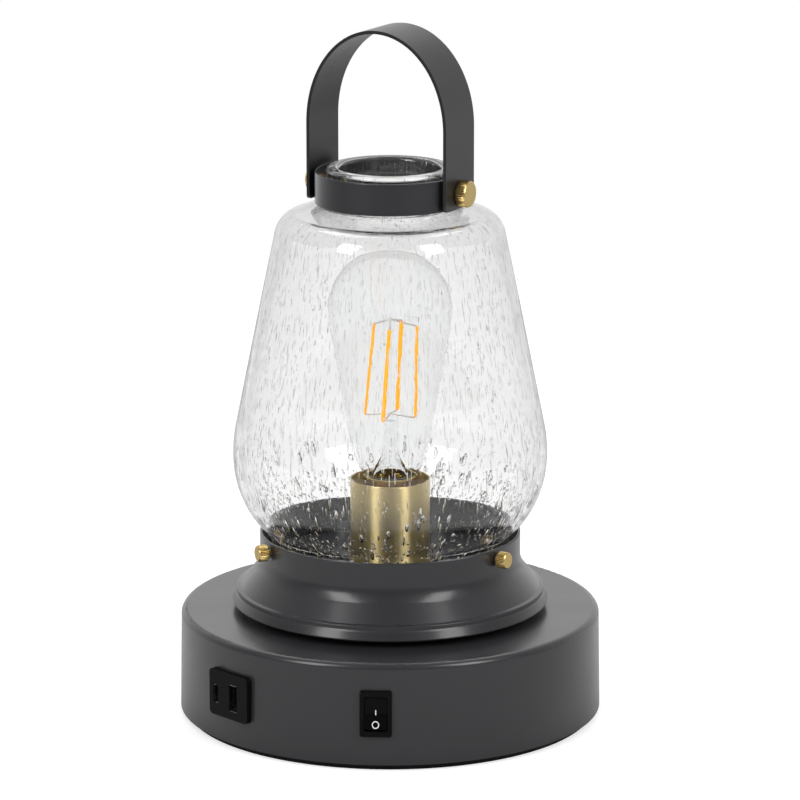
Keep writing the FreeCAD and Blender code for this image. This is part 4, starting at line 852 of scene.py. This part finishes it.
# ---- studio -------------------------------------------------------------------------------------
@dataclass(frozen=True)
class SoftBox:
    """A large soft lamp that looks at the middle of the object.

    Attributes:
        name: Object's name.
        azimuth: Side it stands on, in degrees.
        elevation: Angle above the table, in degrees.
        distance: Distance from the middle of the object.
        size: Width and height of its face.
        power: Power in watts.
    """

    name: str
    azimuth: float
    elevation: float
    distance: float
    size: Point
    power: float


@dataclass
class Studio:
    """White room, floor, soft boxes and the photograph's camera.

    Attributes:
        middle: Height that the lamps look at.
        boxes: The soft boxes.
        diffuse_level: Brightness of the room on matt surfaces.
        front_level: Brightness of the room's dim front in reflections.
        back_level: Brightness of its back in reflections.
        front_edge: Where the dim front ends, from -1 in front to 1 behind.
        back_edge: Where the bright back begins.
        floor_radius: Radius of the floor.
        floor_colour: Colour of the floor.
        floor_lift: Light added to the floor where it is seen straight or through glass.
        mirror_lift: Light added where it is seen in a reflection: little, or the glass would burn out.
        camera_place: Camera's place.
        camera_azimuth: Side that the camera stands on, in degrees.
        camera_pitch: Its fall below level, in degrees.
        lens: Focal length in mm on SENSOR_WIDTH.
        bounces: Glass faces that a ray may cross: both walls of the shade and the bulb, with seeds.
    """

    middle: float = 150.0
    boxes: tuple[SoftBox, ...] = (
        SoftBox("left_soft_box", -42.0, 32.0, 1400.0, (450.0, 900.0), 9.0),
        SoftBox("right_soft_box", 50.0, 32.0, 1400.0, (450.0, 900.0), 9.0),
        SoftBox("back_soft_box", 184.0, 62.0, 1500.0, (1200.0, 700.0), 8.0))
    diffuse_level: float = 0.5
    front_level: float = 0.09
    back_level: float = 0.88
    front_edge: float = -0.45
    back_edge: float = 0.9
    floor_radius: float = 1200.0
    floor_colour: str = "#CFCFCF"
    floor_lift: float = 0.58
    mirror_lift: float = 0.02
    camera_place: tuple[float, float, float] = (136.96, -2072.7, 659.3)
    camera_azimuth: float = 3.65
    camera_pitch: float = 13.7
    lens: float = 201.15
    bounces: int = 32

    def build(self) -> tuple[str, ...]:
        """Set up the room, the floor, the lamps and the camera."""
        scene = bpy.context.scene
        scene.view_settings.view_transform = "Standard"
        scene.cycles.max_bounces = self.bounces
        scene.cycles.transmission_bounces = self.bounces
        scene.cycles.transparent_max_bounces = self.bounces
        self.room()
        self.floor()
        for box in self.boxes:
            self.lamp(box)
        self.camera()
        return tuple(box.name for box in self.boxes) + ("floor", "camera")

    def room(self) -> None:
        """White room: plain white to the eye and through glass, dimmer in front in reflections."""
        world = bpy.data.worlds.new("white_room")
        world.use_nodes = True
        bpy.context.scene.world = world
        tree = world.node_tree
        tree.nodes.clear()
        path = add_node(tree, "ShaderNodeLightPath").outputs
        place = add_node(tree, "ShaderNodeTexCoord").outputs["Generated"]
        depth = add_node(tree, "ShaderNodeSeparateXYZ", {0: place}).outputs["Y"]
        mirrored = add_node(tree, "ShaderNodeMapRange", {
            "Value": depth, "From Min": self.front_edge, "From Max": self.back_edge,
            "To Min": self.front_level, "To Max": self.back_level},
            interpolation_type="SMOOTHSTEP").outputs[0]
        bent = add_node(tree, "ShaderNodeMath", {
            0: path["Glossy Depth"], 1: path["Diffuse Depth"]}, operation="ADD").outputs[0]
        straight = add_node(tree, "ShaderNodeMath", {0: bent, 1: NO_BOUNCE},
                            operation="LESS_THAN").outputs[0]
        through = add_node(tree, "ShaderNodeMath", {
            0: path["Is Transmission Ray"], 1: straight}, operation="MULTIPLY").outputs[0]
        seen = add_node(tree, "ShaderNodeMath", {
            0: path["Is Camera Ray"], 1: through}, operation="MAXIMUM").outputs[0]
        glossy = add_node(tree, "ShaderNodeMath", {0: path["Glossy Depth"], 1: NO_BOUNCE},
                          operation="GREATER_THAN").outputs[0]
        matt = add_node(tree, "ShaderNodeMix", {
            0: glossy, 2: self.diffuse_level, 3: mirrored}, data_type="FLOAT").outputs[0]
        level = add_node(tree, "ShaderNodeMix", {0: seen, 2: matt, 3: 1.0}, data_type="FLOAT").outputs[0]
        light = add_node(tree, "ShaderNodeBackground", {"Color": linear("#FFFFFF"), "Strength": level})
        add_node(tree, "ShaderNodeOutputWorld", {"Surface": light.outputs[0]})

    def floor(self) -> None:
        """Pale floor that lifts to white and keeps the lamp's shadow."""
        mesh = bpy.data.meshes.new("floor")
        rings, steps = 12, 96
        vertices = [Vector((0.0, 0.0, 0.0))]
        for k in range(1, rings + 1):
            vertices.extend(around(self.floor_radius * k / rings, 360 * i / steps, 0) for i in range(steps))
        faces = [(0, 1 + i, 1 + (i + 1) % steps) for i in range(steps)]
        for k in range(rings - 1):
            a, b = 1 + k * steps, 1 + (k + 1) * steps
            faces.extend((a + i, b + i, b + (i + 1) % steps, a + (i + 1) % steps) for i in range(steps))
        mesh.from_pydata(vertices, [], faces)
        floor = bpy.data.objects.new("floor", mesh)
        bpy.context.scene.collection.objects.link(floor)
        material = bpy.data.materials.new("matt_white_paper")
        material.use_nodes = True
        tree = material.node_tree
        tree.nodes.clear()
        path = add_node(tree, "ShaderNodeLightPath").outputs
        seen = add_node(tree, "ShaderNodeMath", {
            0: path["Is Camera Ray"], 1: path["Is Transmission Ray"]}, operation="MAXIMUM").outputs[0]
        mirrored = add_node(tree, "ShaderNodeMath", {
            0: path["Is Glossy Ray"], 1: self.mirror_lift}, operation="MULTIPLY").outputs[0]
        lift = add_node(tree, "ShaderNodeMath", {
            0: seen, 1: self.floor_lift, 2: mirrored}, operation="MULTIPLY_ADD").outputs[0]
        paper = add_node(tree, "ShaderNodeBsdfDiffuse", {"Color": linear(self.floor_colour)}).outputs[0]
        glow = add_node(tree, "ShaderNodeEmission", {"Strength": lift}).outputs[0]
        both = add_node(tree, "ShaderNodeAddShader", {0: paper, 1: glow}).outputs[0]
        add_node(tree, "ShaderNodeOutputMaterial", {"Surface": both})
        mesh.materials.append(material)

    def lamp(self, box: SoftBox) -> None:
        """Hang a soft box.

        Args:
            box: Its place, size and power.
        """
        light = bpy.data.lights.new(box.name, "AREA")
        light.shape = "RECTANGLE"
        light.size, light.size_y = box.size[0] * MM, box.size[1] * MM
        light.energy = box.power
        lamp = bpy.data.objects.new(box.name, light)
        bpy.context.scene.collection.objects.link(lamp)
        rise = math.radians(box.elevation)
        aim = Vector((0.0, 0.0, self.middle * MM))
        reach, height = box.distance * math.cos(rise), box.distance * math.sin(rise)
        lamp.location = aim + around(reach, box.azimuth, height)
        lamp.rotation_euler = (aim - lamp.location).to_track_quat("-Z", "Y").to_euler()

    def camera(self) -> None:
        """Stand the camera where the photograph was taken."""
        lens = bpy.data.cameras.new("camera")
        lens.lens = self.lens
        lens.sensor_width = SENSOR_WIDTH
        camera = bpy.data.objects.new("camera", lens)
        bpy.context.scene.collection.objects.link(camera)
        camera.location = Vector(self.camera_place) * MM
        turn, fall = math.radians(self.camera_azimuth), math.radians(self.camera_pitch)
        ahead = Vector((-math.sin(turn) * math.cos(fall), math.cos(turn) * math.cos(fall), -math.sin(fall)))
        camera.rotation_euler = ahead.to_track_quat("-Z", "Y").to_euler()
        bpy.context.scene.camera = camera


def main() -> None:
    """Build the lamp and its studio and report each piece."""
    logging.basicConfig(level=logging.INFO, format="%(name)s: %(message)s")
    parts: tuple[SubAssembly, ...] = (Studio(), DrumBase(), Gallery(), GlassShade(), CollarAndHandle(),
                                      LampHolder(), Bulb(), RockerSwitch(), ChargingModule())
    for part in parts:
        for name in part.build():
            LOG.info("%s: %s", type(part).__name__, name)


if __name__ == "__main__":
    main()
